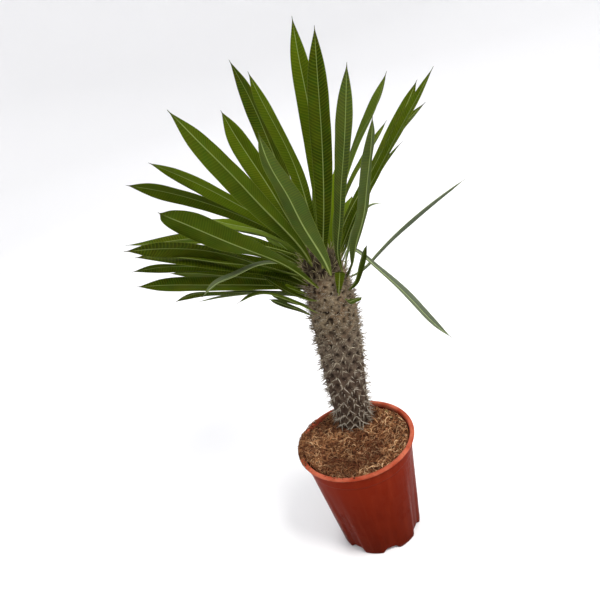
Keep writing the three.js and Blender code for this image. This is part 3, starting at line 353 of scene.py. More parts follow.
# node, full width, cut, fold in degrees, tone (per-leaf brightness: the leaf's own shade of green plus painted light
# and shade), fresh (0 old and dark .. 1 young and yellow-green; it also paints the glow of backlit leaves), painted
# sheen, blunt tip,
# midrib points from foot to tip, upper-face direction at 0, 26, 65 and 100 %
LEAVES = [
    ("leaf_01", 28.8, 0, 13, 1.35, 0.55, 0, 0, [(25.9, 32.8, 459.6), (27.2, 33.5, 481.7), (27.9, 32.3, 517.8), (26.5, 32.2, 559.9), (20, 34.9, 602.8), (11.3, 37.1, 643), (5.2, 39.6, 678.4)], [(-0.501, -0.863, 0.073), (-0.53, -0.847, -0.032), (-0.793, -0.596, -0.125), (-0.604, -0.796, -0.036)]),
    ("leaf_02", 32.3, 0, 13, 1.1, 0.05, 0, 0, [(22.6, 42.2, 454.6), (15.6, 53.5, 477.2), (11.84, 74.59, 513.88), (7.67, 100.29, 558.44), (2.9, 121.3, 606.8), (-3.9, 141.7, 652.4), (-13.1, 159.5, 691.5)], [(-0.535, -0.818, 0.209), (-0.563, -0.722, 0.401), (-0.677, -0.702, 0.221), (-0.755, -0.648, 0.104)]),
    ("leaf_03", 30.8, 0, 13, 1.15, 0.75, 0, 0, [(5, 29.1, 452.8), (-5.2, 43.2, 471.4), (-27.9, 63.4, 497.8), (-59.5, 81.2, 527.1), (-94.1, 103.9, 555.4), (-130.1, 136.6, 578.1), (-161.2, 158, 597.7)], [(-0.66, -0.721, 0.21), (-0.596, -0.802, -0.048), (-0.705, -0.687, -0.176), (-0.624, -0.734, -0.267)]),
    ("leaf_04", 31.8, 0, 13, 1.06, 0.4, 0, 0, [(13.2, 43.1, 448.8), (6.4, 56.3, 466.9), (-2.31, 79.97, 495.65), (-12.55, 100.27, 531.87), (-25.2, 127.6, 567.8), (-36.8, 154.4, 602.1), (-45.3, 176.5, 632.6)], [(-0.302, -0.834, 0.461), (-0.294, -0.821, 0.489), (-0.387, -0.777, 0.497), (-0.432, -0.784, 0.446)]),
    ("leaf_05", 26.8, 0, 13, 1.15, 0.45, 0, 0, [(30.5, 47.2, 446.5), (37.3, 50.1, 472.2), (47.2, 60.3, 512.4), (56.1, 69, 563.3), (64, 69.7, 619.5), (67.7, 69.4, 673.6), (72, 68.1, 719.3)], [(-0.126, -0.985, 0.115), (-0.098, -0.958, 0.269), (-0.197, -0.98, 0.01), (-0.285, -0.959, -0.004)]),
    ("leaf_06", 28.1, 0, 13, 0.99, 0.1, 0, 0, [(4.1, 37.2, 443.9), (-15.7, 46, 455.3), (-49.1, 61.2, 471), (-90.9, 76.3, 486.8), (-137.3, 87, 498.9), (-183, 94.6, 504.6), (-221.1, 101.9, 511.5)], [(0.403, -0.268, 0.875), (0.294, -0.226, 0.929), (0.132, -0.182, 0.974), (0.196, -0.011, 0.981)]),
    ("leaf_07", 28.9, 0, 28, 1.2, 0.85, 0.1, 0, [(43.7, 33.7, 443), (50.6, 34.9, 464.2), (65.7, 36, 496.4), (86.8, 36.5, 533.1), (112.4, 35.6, 569.2), (139, 33.9, 602.1), (158.1, 34, 634.1)], [(-0.896, 0.369, 0.247), (-0.833, 0.343, 0.435), (-0.774, 0.065, 0.63), (-0.722, -0.561, 0.405)]),
    ("leaf_08", 31.9, 0, 13, 0.98, 0.1, 0, 0, [(11.21, 8.73, 442.25), (5.7, -1, 466.5), (-7.7, -17.6, 504.2), (-25.8, -38, 547.9), (-44, -59.2, 594.5), (-62.5, -79.6, 638.2), (-78.3, -96.2, 676.3)], [(-0.221, 0.917, 0.331), (-0.416, 0.879, 0.234), (-0.723, 0.69, 0.027), (-0.75, 0.661, -0.025)]),
    ("leaf_09", 29, 0, 13, 1.05, 0.28, 0, 0, [(18.9, 49.9, 441.1), (18.7, 74.2, 447.1), (20.1, 113, 456.7), (24.2, 159, 467.9), (28.7, 207.5, 479.7), (33, 253.5, 490.9), (36.5, 292.2, 500.3)], [(0.064, -0.238, 0.969), (0.05, -0.242, 0.969), (0.045, -0.24, 0.97), (0.045, -0.239, 0.97)]),
    ("leaf_10", 29.5, 0, 13, 1.04, 0.07, 0, 0, [(23.61, 3.74, 437.62), (30.6, 8.2, 459.7), (42.9, 12.4, 499), (57.6, 18.1, 553.4), (70.2, 23.9, 608), (80.8, 30.2, 659.1), (90.4, 35.6, 703.6)], [(-0.195, -0.951, 0.241), (-0.267, -0.948, 0.171), (-0.543, -0.813, 0.209), (-0.458, -0.865, 0.204)]),
    ("leaf_11", 33.1, 0, 13, 0.8, 0.4, 0, 0, [(6.12, 46.51, 436.82), (-3.6, 60, 458), (-32.2, 80.4, 485.1), (-72.2, 109.1, 511.5), (-116.5, 126.4, 539.2), (-160.1, 137.1, 562.8), (-200, 149.7, 579.4)], [(-0.86, -0.51, -0.006), (-0.689, -0.642, -0.336), (-0.462, -0.775, -0.432), (-0.337, -0.94, -0.058)]),
    ("leaf_12", 25.3, 0, 13, 1.03, 0.55, 0, 0, [(47.9, 26.5, 435.5), (62.1, 25.2, 455.8), (85, 23.1, 488), (115.5, 19.3, 523.5), (147.4, 15.5, 561.2), (178.3, 11.6, 596.3), (204.9, 8.9, 627.3)], [(-0.767, -0.383, 0.515), (-0.754, -0.346, 0.559), (-0.76, -0.11, 0.641), (-0.736, -0.314, 0.6)]),
    ("leaf_13", 29, 0, 13, 1.06, 0.9, 0, 0, [(27.7, 54.6, 434.1), (17.1, 75.8, 440.2), (5.9, 111.2, 450.4), (1, 155.5, 463.5), (-2.7, 202.6, 476.9), (-6.3, 247.6, 489), (-9.2, 285.6, 498.8)], [(0.135, -0.208, 0.969), (0.166, -0.247, 0.955), (0.204, -0.245, 0.948), (0.202, -0.228, 0.952)]),
    ("leaf_14", 28.9, 0, 13, 1, 0.24, 0, 0, [(47.5, 41.57, 431.38), (57.5, 49, 452), (81.6, 59.3, 480.8), (115, 70.2, 511.5), (149.8, 82, 544.5), (182.9, 93, 575.5), (209, 103.6, 604.5)], [(0.715, -0.696, -0.066), (0.549, -0.786, -0.284), (0.514, -0.816, -0.265), (0.226, -0.961, 0.159)]),
    ("leaf_15", 26, 0, 13, 1.15, 1, 0, 0, [(13.1, 53.3, 429.2), (3.1, 68.8, 440.3), (-16, 92.9, 455.9), (-41.1, 119, 469.1), (-68.4, 143.8, 476.9), (-92.3, 166.6, 482.7), (-111.3, 186.6, 488.9)], [(0.494, -0.288, 0.82), (0.334, -0.245, 0.91), (0.047, -0.197, 0.979), (0.166, -0.161, 0.973)]),
    ("leaf_16", 13.9, 0, 24, 0.97, 0.03, 0.5, 0, [(-2.1, 20.5, 427.5), (-9.9, 10.1, 444.5), (-28.1, -26.06, 471.94), (-50.56, -66.12, 491.29), (-73.7, -82.4, 493.4), (-93.8, -98.4, 496.3), (-108.3, -114.7, 494.1)], [(0.9, 0.093, 0.425), (0.5, 0.253, 0.828), (0.066, -0, 0.998), (0.049, -0.25, 0.967)]),
    ("leaf_17", 33.4, 0, 11, 1.46, 0, 0.1, 0, [(30.3, 0.9, 426.1), (27.9, -10.8, 447.1), (21.1, -29.6, 480.5), (12.6, -52.6, 519.9), (6.1, -76.8, 561.9), (-2, -99.9, 601.4), (-3.5, -118.6, 636.3)], [(0.247, 0.836, 0.49), (0.149, 0.842, 0.519), (0.639, 0.603, 0.478), (0.719, 0.615, 0.323)]),
    ("leaf_18", 14, 0, 30, 0.9, 0.11, 1, 0, [(52.4, 33.3, 424.2), (65.5, 42.6, 433.7), (87.6, 39.2, 409), (108.5, 33.2, 375.6), (129.1, 26.4, 339.6), (147.7, 19.6, 304.6), (167, 14.5, 276.2)], [(-0.451, -0.461, 0.764), (0.536, -0.693, 0.482), (0.51, -0.752, 0.417), (0.313, -0.871, 0.378)]),
    ("leaf_19", 29.1, 0, 13, 0.74, 0.05, 0, 0, [(5.87, 7.47, 423.14), (-6.77, 5.69, 432.36), (-33.66, -13.32, 459.27), (-59.33, -45.41, 492.41), (-91.04, -75.17, 526.1), (-125.68, -119.1, 556.73), (-157.24, -139.51, 571.36)], [(-0.498, -0.434, -0.751), (-0.419, -0.47, -0.777), (-0.079, -0.612, -0.787), (0.408, -0.91, -0.079)]),
    ("leaf_20", 26, 0, 13, 1.2, 1, 0, 0, [(22.2, 58.5, 422.4), (11.1, 74.5, 431.8), (-8.8, 99.1, 444.9), (-35.6, 127.8, 457.5), (-67.2, 156.1, 466.8), (-98.3, 182.4, 474), (-124.8, 204.4, 479.6)], [(0.25, -0.365, 0.897), (0.259, -0.235, 0.937), (0.197, -0.053, 0.979), (0.176, -0.035, 0.984)]),
    ("leaf_21", 29, 0, 13, 1.5, 0.14, 0.1, 0, [(46, 7.8, 421.9), (46.3, 3.6, 446.2), (56.7, -3.1, 484), (68.9, -11.8, 529.5), (82.9, -21.4, 577.3), (94.9, -30.4, 623.1), (104.6, -37.3, 663.1)], [(-0.809, -0.573, -0.132), (-0.865, -0.466, 0.186), (-0.869, -0.471, 0.154), (-0.672, -0.739, 0.038)]),
    ("leaf_22", 25.7, 0, 13, 1, 0.5, 0, 0, [(46.2, 48.8, 419.7), (53.1, 62.3, 436.4), (65.1, 84, 462.4), (87.8, 108.1, 489.3), (117.7, 131.7, 513.3), (147.6, 153.3, 534.4), (173.8, 172.2, 553.4)], [(-0.935, 0.049, 0.351), (-0.876, 0.054, 0.479), (-0.606, 0.042, 0.794), (-0.469, -0.218, 0.856)]),
    ("leaf_23", 29, 0, 13, 0.91, 0.9, 0, 0, [(7, 53.2, 417.9), (-8.1, 68.5, 431.2), (-35.7, 91.6, 449.4), (-73.5, 116.5, 465.3), (-117, 139.7, 475.7), (-160.6, 159.3, 480.2), (-196.9, 176.2, 485)], [(0.36, -0.398, 0.844), (0.214, -0.365, 0.906), (-0.038, -0.368, 0.929), (-0.039, -0.368, 0.929)]),
    ("leaf_24", 9.9, 0, 20, 1.04, 0.02, 0.6, 0, [(53, 23.6, 417.1), (56.6, 25.2, 428.7), (64.9, 31.1, 445.3), (76.9, 43.2, 461.1), (92.8, 58.8, 471.2), (110.2, 74.2, 474), (125.5, 85.2, 468)], [(0.963, -0.009, -0.269), (0.868, -0.068, -0.491), (0.495, -0.152, -0.856), (-0.481, 0.056, -0.875)]),
    ("leaf_25", 34.6, 0, 13, 0.7, 0.22, 0, 0, [(-2.74, 14.07, 416.43), (-9.89, 12.52, 425.86), (-28.17, 2.14, 447.17), (-61.19, -12.93, 473.38), (-95.66, -55.61, 506.7), (-126.58, -94.74, 537.99), (-155.08, -121.9, 556.91)], [(0.443, -0.846, 0.297), (0.677, -0.579, 0.455), (0.798, -0.112, 0.592), (0.697, -0.374, 0.612)]),
    ("leaf_26", 35, 0, 9, 1, 0.1, 0, 1, [(10.38, 3.54, 411.83), (-2.88, -11.22, 438.5), (-21.62, -56.46, 481.43), (-44.04, -87.92, 513.86), (-69.5, -103, 541.6), (-94.7, -113.5, 568.9), (-114.8, -133.8, 595.3)], [(0.551, 0.621, 0.557), (0.405, 0.494, 0.769), (0.138, 0.884, 0.448), (-0.12, 0.796, 0.593)]),
    ("leaf_27", 29, 0, 13, 1.3, 1, 0, 0, [(15.8, 59.2, 411), (4.5, 79.6, 411.7), (-13.4, 112.6, 413.3), (-34.1, 152.1, 415.8), (-55.4, 193.9, 418.8), (-75.8, 233.5, 421.6), (-92.9, 266.9, 424)], [(0.027, -0.017, 0.999), (0.039, -0.036, 0.999), (0.046, -0.048, 0.998), (0.047, -0.048, 0.998)]),
    ("leaf_28", 36.2, 0, 10, 0.98, 0.07, 0.12, 0, [(50, 14, 410.2), (59.1, 1.6, 428.6), (68.6, -16.5, 461), (82, -38.6, 498.6), (91.6, -60.8, 540.3), (100.4, -81.9, 579.8), (107.2, -99, 614.8)], [(-0.913, -0.229, 0.339), (-0.632, 0.578, 0.517), (-0.767, 0.486, 0.419), (-0.562, 0.701, 0.439)]),
    ("leaf_29", 27.3, 0, 13, 0.96, 0.07, 0, 0, [(42.4, 54.9, 408.4), (60.1, 65.7, 424.8), (86.8, 83.6, 452.5), (119.1, 104.7, 484.7), (154.9, 126.5, 517.6), (191.8, 146.1, 546.2), (229.1, 159.8, 563.9)], [(-0.689, 0.062, 0.722), (-0.729, 0.017, 0.685), (-0.647, -0.052, 0.761), (-0.243, -0.388, 0.889)]),
    ("leaf_30", 29, 0, 13, 1.01, 0.1, 0, 0, [(26.3, 61.3, 404), (30.2, 86.5, 416.1), (38, 127, 434.4), (50, 175, 454.8), (63.8, 225.6, 475.5), (76.7, 273.9, 494.9), (87.5, 314.6, 511.1)], [(0.013, -0.438, 0.899), (-0.099, -0.38, 0.92), (-0.201, -0.32, 0.926), (-0.199, -0.316, 0.928)]),
    ("leaf_31", 22, 0, 13, 0.95, 0.26, 0, 0, [(50.5, 48.1, 401.5), (60, 63.6, 414.2), (77.1, 87, 434.6), (100.2, 112.9, 458.9), (128.6, 137.4, 483.2), (159.1, 157.9, 504.7), (189.6, 171.7, 518.3)], [(0.908, -0.342, -0.243), (0.86, -0.391, -0.328), (0.746, -0.463, -0.479), (0.496, -0.557, -0.666)]),
    ("leaf_32", 29, 0, 13, 1.3, 1, 0, 0, [(8.8, 59.3, 399.8), (8.5, 82.6, 402.4), (8.1, 119.7, 407.7), (7, 163.9, 415.5), (5.5, 210.4, 425), (3.9, 254.2, 435.1), (2.5, 291.1, 444.1)], [(0.06, -0.105, 0.993), (0.054, -0.158, 0.986), (0.047, -0.212, 0.976), (0.049, -0.237, 0.97)]),
    ("leaf_33", 9, 1, 13, 1.2, 0.9, 0, 0, [(-5.56, 18.74, 397.98), (-6.65, 19.47, 400.26), (-10.86, 19.03, 404.28), (-15.93, 18.79, 408.77), (-21.37, 19.49, 412.92), (-26.64, 20.97, 416.37), (-31.2, 23.09, 418.8)], [(0.471, -0.718, 0.513), (0.507, -0.732, 0.456), (0.248, -0.785, 0.568), (0.007, -0.703, 0.711)]),
    ("leaf_34", 29, 0, 13, 1.3, 1, 0, 0, [(36.9, 59.8, 397.1), (42.5, 83.6, 403.8), (52, 120.9, 416.8), (64.3, 163.6, 435.9), (82.2, 205.6, 458.5), (100.1, 242.9, 483.5), (115.6, 272.3, 507)], [(0.017, -0.266, 0.964), (-0.046, -0.359, 0.932), (-0.183, -0.441, 0.879), (-0.26, -0.527, 0.809)]),
    ("leaf_35", 13.5, 1, 12, 0.92, 0.22, 0, 0, [(33.65, 0.73, 396.23), (34.45, -0.18, 399.81), (35.98, -2.02, 405.28), (37.52, -3.52, 411.47), (39.19, -4.48, 417.65), (40.88, -5.11, 423.33), (42.15, -6.14, 428.19)], [(-0.287, -0.915, -0.283), (-0.261, -0.943, -0.207), (-0.206, -0.977, -0.046), (-0.236, -0.957, -0.167)]),
    ("leaf_36", 29.1, 0, 13, 0.76, 0.12, 0, 0, [(-3.5, 46.8, 395.3), (-21.6, 57.3, 409.6), (-56, 71, 426), (-99.2, 85.3, 441.6), (-146.1, 99.2, 455.4), (-192, 110.7, 464.9), (-232.8, 118, 467.9)], [(-0.728, -0.443, -0.524), (-0.461, -0.552, -0.694), (-0.358, -0.647, -0.674), (-0.168, -0.911, -0.377)]),
    ("leaf_37", 20, 0, 13, 0.92, 0.16, 0, 0, [(5.3, 4.8, 393.6), (-1.7, 2.3, 398), (-12.2, -1, 406.3), (-23.6, -4.7, 417.9), (-34.3, -7.9, 431.6), (-43.8, -10.6, 445.2), (-50.9, -12.6, 457.3)], [(0.494, 0.08, 0.866), (0.662, 0.028, 0.749), (0.811, -0.117, 0.573), (0.87, -0.162, 0.465)]),
    ("leaf_38", 29, 0, 13, 1.3, 1, 0, 0, [(19.3, 63.6, 392.7), (26.3, 85.5, 398.5), (37.8, 120.5, 407.7), (51.4, 162.6, 418.7), (65.9, 206.9, 430.1), (79.6, 249, 441), (91.1, 284.5, 450.2)], [(0.003, -0.257, 0.966), (0.003, -0.255, 0.967), (0.004, -0.251, 0.968), (0.004, -0.252, 0.968)]),
    ("leaf_39", 18.4, 0, 16, 0.8, 0.15, 0.05, 0, [(48, 11.5, 391.8), (52.8, 8.1, 396.9), (59.5, 2.9, 406), (64.7, -2.1, 418.9), (70.3, -7.4, 432.6), (76.1, -12.5, 445.4), (81.5, -16.8, 455.9)], [(0.739, 0.063, -0.67), (0.895, 0.148, -0.42), (0.927, 0.112, -0.358), (0.898, 0.142, -0.416)]),
    ("leaf_40", 16.5, 0, 22, 0.8, 0.34, 1, 0, [(46.8, 55.2, 390.2), (68.1, 55.8, 391.7), (98.5, 61.8, 405.9), (134.2, 70.3, 424.5), (173.6, 78, 441), (212, 84.2, 454.3), (244.9, 88.8, 463.9)], [(0, -0.75, -0.662), (0.485, -0.693, -0.533), (0.372, -0.615, -0.695), (0.292, -0.594, -0.749)]),
    ("leaf_41", 29.3, 0, 13, 0.95, 0.1, 0, 0, [(2.3, 57.1, 388.3), (-20.2, 64.4, 395.9), (-56.9, 75.2, 405.9), (-101.6, 87.5, 416.1), (-149, 100.4, 426.2), (-194.1, 112.6, 435.7), (-236.1, 122.4, 442.7)], [(0.147, -0.474, 0.868), (0.078, -0.48, 0.874), (0.092, -0.389, 0.917), (-0.054, -0.72, 0.692)]),
    ("leaf_42", 29, 0, 13, 1.2, 0.9, 0, 0, [(30.2, 63.2, 385.7), (37.3, 83.9, 391.1), (49.5, 116.8, 399.3), (64.6, 155.6, 408.7), (81.7, 196.3, 417.9), (98, 234.8, 426.7), (111.7, 267.3, 434)], [(0.001, -0.255, 0.967), (-0.001, -0.239, 0.971), (-0.001, -0.22, 0.976), (-0, -0.218, 0.976)]),
    ("leaf_43", 11.9, 0, 13, 0.96, 0.5, 0.15, 0, [(39.6, 4.6, 384.8), (41.4, 2.7, 384.3), (43.7, -1.2, 382.1), (48.5, -3.9, 383.9), (52.8, -6.8, 385.5), (56.3, -9.7, 387.3), (59.5, -11.9, 388.5)], [(-0.645, -0.679, -0.351), (-0.735, -0.609, -0.3), (-0.283, -0.679, -0.678), (-0.233, -0.697, -0.678)]),
    ("leaf_44", 27, 0, 13, 0.76, 0.29, 0, 0, [(11.7, 63.9, 381.4), (-8.4, 74.9, 389.1), (-40.9, 92.3, 399.9), (-80.8, 113.6, 409.7), (-123.2, 136.6, 417.9), (-163.1, 159.1, 425.1), (-197.6, 177.4, 428.3)], [(0.236, -0.238, 0.942), (0.158, -0.229, 0.961), (0.064, -0.225, 0.972), (-0.063, -0.255, 0.965)]),
    ("leaf_45", 8.5, 0, 13, 0.85, 0.2, 0.12, 0, [(-7.72, 24.08, 379.49), (-11.58, 26.23, 381.8), (-19.04, 29.88, 385.28), (-27.86, 34.86, 389.34), (-37.15, 41.9, 393.09), (-46.07, 50.75, 395.98), (-53.73, 60.23, 397.79)], [(0.244, -0.494, 0.835), (0.073, -0.586, 0.807), (-0.11, -0.493, 0.863), (-0.232, -0.336, 0.913)]),
    ("leaf_46", 28, 0, 13, 0.82, 0.05, 0, 0, [(-2.5, 52.2, 376.8), (-19.1, 64.4, 384.7), (-49.5, 80.9, 391.2), (-86.8, 99.5, 396.2), (-126.8, 117.9, 399.5), (-165.4, 134.9, 401.5), (-199.2, 145.3, 394.4)], [(-0.627, -0.314, -0.713), (-0.335, -0.42, -0.843), (-0.324, -0.531, -0.783), (-0.084, -0.834, -0.545)]),
    ("leaf_47", 14, 0, 24, 0.96, 0.34, 0, 0, [(0.7, 8.2, 375), (-6.9, 6.1, 384.1), (-19.1, 2.5, 398.3), (-34.7, -2.4, 414.5), (-52.1, -8.8, 429.6), (-71.2, -18.1, 436.8), (-87.8, -28.2, 437.6)], [(0.688, 0.326, 0.649), (0.658, 0.317, 0.683), (0.412, 0.313, 0.856), (-0.061, 0.085, 0.995)]),
    ("leaf_48", 29, 0, 13, 1.3, 0.9, 0, 0, [(22.9, 65.5, 374.2), (17.1, 87.6, 379.5), (7, 122.8, 387.7), (-5.9, 164.4, 396.9), (-20.7, 208.1, 406.1), (-35.1, 249.5, 414.6), (-47.3, 284.4, 421.8)], [(0.094, -0.21, 0.973), (0.095, -0.194, 0.976), (0.094, -0.17, 0.981), (0.093, -0.17, 0.981)]),
    ("leaf_49", 20, 0, 14, 0.89, 0.06, 0, 0, [(5.2, 60.8, 369.7), (-11.2, 73.5, 373.2), (-38.4, 93.2, 377), (-71.5, 115.8, 379.7), (-107.7, 137.8, 378.5), (-142.5, 157.8, 375.6), (-172, 173.9, 371.7)], [(0.125, -0.127, 0.984), (0.142, 0.041, 0.989), (0.093, 0.266, 0.96), (0.025, 0.298, 0.954)]),
    ("leaf_50", 8, 0, 13, 0.7, 0.13, 0.15, 0, [(-6.7, 17.9, 367.9), (-11.5, 17.1, 372.9), (-19.5, 18.2, 380.5), (-30.3, 23.1, 386.9), (-40.7, 31.9, 391.2), (-49.4, 41.9, 393.6), (-56.2, 51.1, 394.4)], [(0.594, -0.68, 0.43), (0.27, -0.734, 0.624), (-0.205, -0.488, 0.848), (-0.379, -0.325, 0.866)]),
]
ACROSS = np.array([-1, -0.97, -0.88, -0.71, -0.49, -0.27, -0.12, -0.05, 0, 0.05, 0.12, 0.27, 0.49, 0.71, 0.88, 0.97, 1.0])


def leaf_mesh(row, k):
    node, width, cut, fold, tone, fresh_and_backlight, painted_sheen, blunt, mid, faces = row
    seg = np.linalg.norm(np.diff(np.array(mid), axis=0), axis=1).sum()
    M = int(np.clip(seg / 3.6, 16, 74))
    e = np.linspace(0, 1, M)
    us = 0.5 * e + 0.5 * (0.5 - 0.5 * np.cos(np.pi * e))  # denser at both ends
    us = us * 0.996 if not cut else us
    us = np.concatenate([[-2.6 / seg, -1.2 / seg], us])
    if not cut:
        us = np.concatenate([us, [1 + 0.5 / seg, 1 + 1.3 / seg]])  # the hard point at the tip
    p, t = spline(SHARES, mid, np.clip(us, 0, 1))
    t = unit(t)
    p = p + t * (np.minimum(us, 0) * seg + np.maximum(us - 1, 0) * seg)[:, None]
    F = np.array(faces, float)
    n = unit(spline([0, 0.26, 0.65, 1], F, np.clip(us, 0, 1))[0])
    n = unit(n - (n * t).sum(1, keepdims=True) * t)
    w = np.cross(t, n)
    if cut:
        hf = np.interp(1 - us, [0, 0.08, 0.4, 0.7, 1], [0.85, 1.0, 0.82, 0.54, 0.24])
    else:
        tab = BLUNT if blunt else BLADE
        hf = pchip([x for x, _ in tab], [y for _, y in tab], np.clip(1 - us, 0, 1))
        hf = np.maximum(hf, np.interp(us, [0.985, 1 + 1.3 / seg], [1.1, 0.6]) / width)
    hf = hf * np.where(us < 0, 1.0 - 0.12 * us * seg / -2.6, 1.0)
    h = hf * width / 2
    s = ACROSS[None, :]
    H = h[:, None]
    r2 = np.random.default_rng(900 + k)
    ph = r2.uniform(0, 6.28, 6)
    al = us[:, None] * seg
    # outline: slightly uneven margins
    side = np.where(s < 0, 0, 1)
    wob = 1 + 0.008 * np.sin(al / 15.0 + ph[0] + side * 2.1) + 0.003 * np.sin(al / 5.1 + ph[1] + side * 4.0)
    fade = np.clip(np.minimum(us[:, None], 1 - us[:, None]) * 8, 0, 1)
    S = s * (1 + (wob - 1) * np.abs(s) ** 2 * fade)
    fo = math.radians(fold) * np.minimum(1, 0.25 + np.maximum(us, 0) * 4)[:, None]
    A = np.abs(S)
    lift = A * H * np.sin(fo) + 0.05 * H * np.sin(np.pi * np.minimum(A, 1)) - 0.05 * H * np.clip((A - 0.86) / 0.14, 0, 1) ** 2
    wave = (0.035 * np.sin(al / 17.0 + ph[2] + side * 1.3) + 0.008 * np.sin(al / 7.1 + ph[3] + side * 3.0)) * H * A**2 * fade
    off = S * H * np.cos(fo)
    x = off
    rib = 0.9 * (1 - np.clip(us, 0, 1))[:, None] ** 1.1 + 0.28
    top = lift + wave + 0.10 + 0.16 * np.exp(-((S * H / 1.0) ** 2))
    thick = (0.46 - 0.22 * A) * np.clip(H / 3, 0.35, 1)
    bot = lift + wave + 0.10 - thick - rib * np.exp(-((S * H / (0.75 + 0.5 * (1 - np.clip(us, 0, 1))[:, None])) ** 2)) * np.clip(H / 2.5, 0.3, 1)
    P = lambda z: p[:, None, :] + w[:, None, :] * x[..., None] + n[:, None, :] * z[..., None]
    T, Bm = P(top), P(bot[:, ::-1][:, ::-1])
    J = len(ACROSS)
    ring = np.concatenate([T, Bm[:, ::-1][:, 1:-1]], 1)  # the margins are shared by both faces
    K = ring.shape[1]
    under = np.concatenate([np.zeros(J), np.ones(J - 2)])
    under[0] = under[J - 1] = 0.5
    across = np.concatenate([ACROSS, ACROSS[::-1][1:-1]])
    rows = len(us)
    verts = ring.reshape(-1, 3)
    tipx = p[-1] + t[-1] * 1.3 if not cut else p[-1] + t[-1] * 0.5
    verts = np.vstack([verts, p[0], tipx])
    quads = grid_faces(rows, K, flip=True)
    j = np.arange(K)
    c0, c1 = rows * K, rows * K + 1
    tri0 = np.stack([np.full(K, c0), (j + 1) % K, j], 1)[:, ::-1]
    tri1 = np.stack([np.full(K, c1), (rows - 1) * K + j, (rows - 1) * K + (j + 1) % K], 1)[:, ::-1]
    hh = np.repeat(h, K)
    luv = np.stack([np.tile(across, rows) * hh, np.repeat(us * seg, K), hh], 1)
    luv = np.vstack([luv, [0, -2.6, h[0]], [0, seg, 0.3]])
    share = np.concatenate([np.repeat(us, K), [0, 1]])
    un = np.concatenate([np.tile(under, rows), [0.5, 0.5]])
    o = make_mesh("leaf_blade_%02d" % (k + 1), verts, [quads, tri0, tri1], attrs={"leafpos": luv, "share": share, "under": un, "tone": np.full(len(verts), tone), "fresh_and_backlight": np.full(len(verts), fresh_and_backlight), "painted_sheen": np.full(len(verts), painted_sheen), "seed": np.full(len(verts), r2.uniform(0, 1))}, mats=[LEAF], sharp_deg=70)
    return o


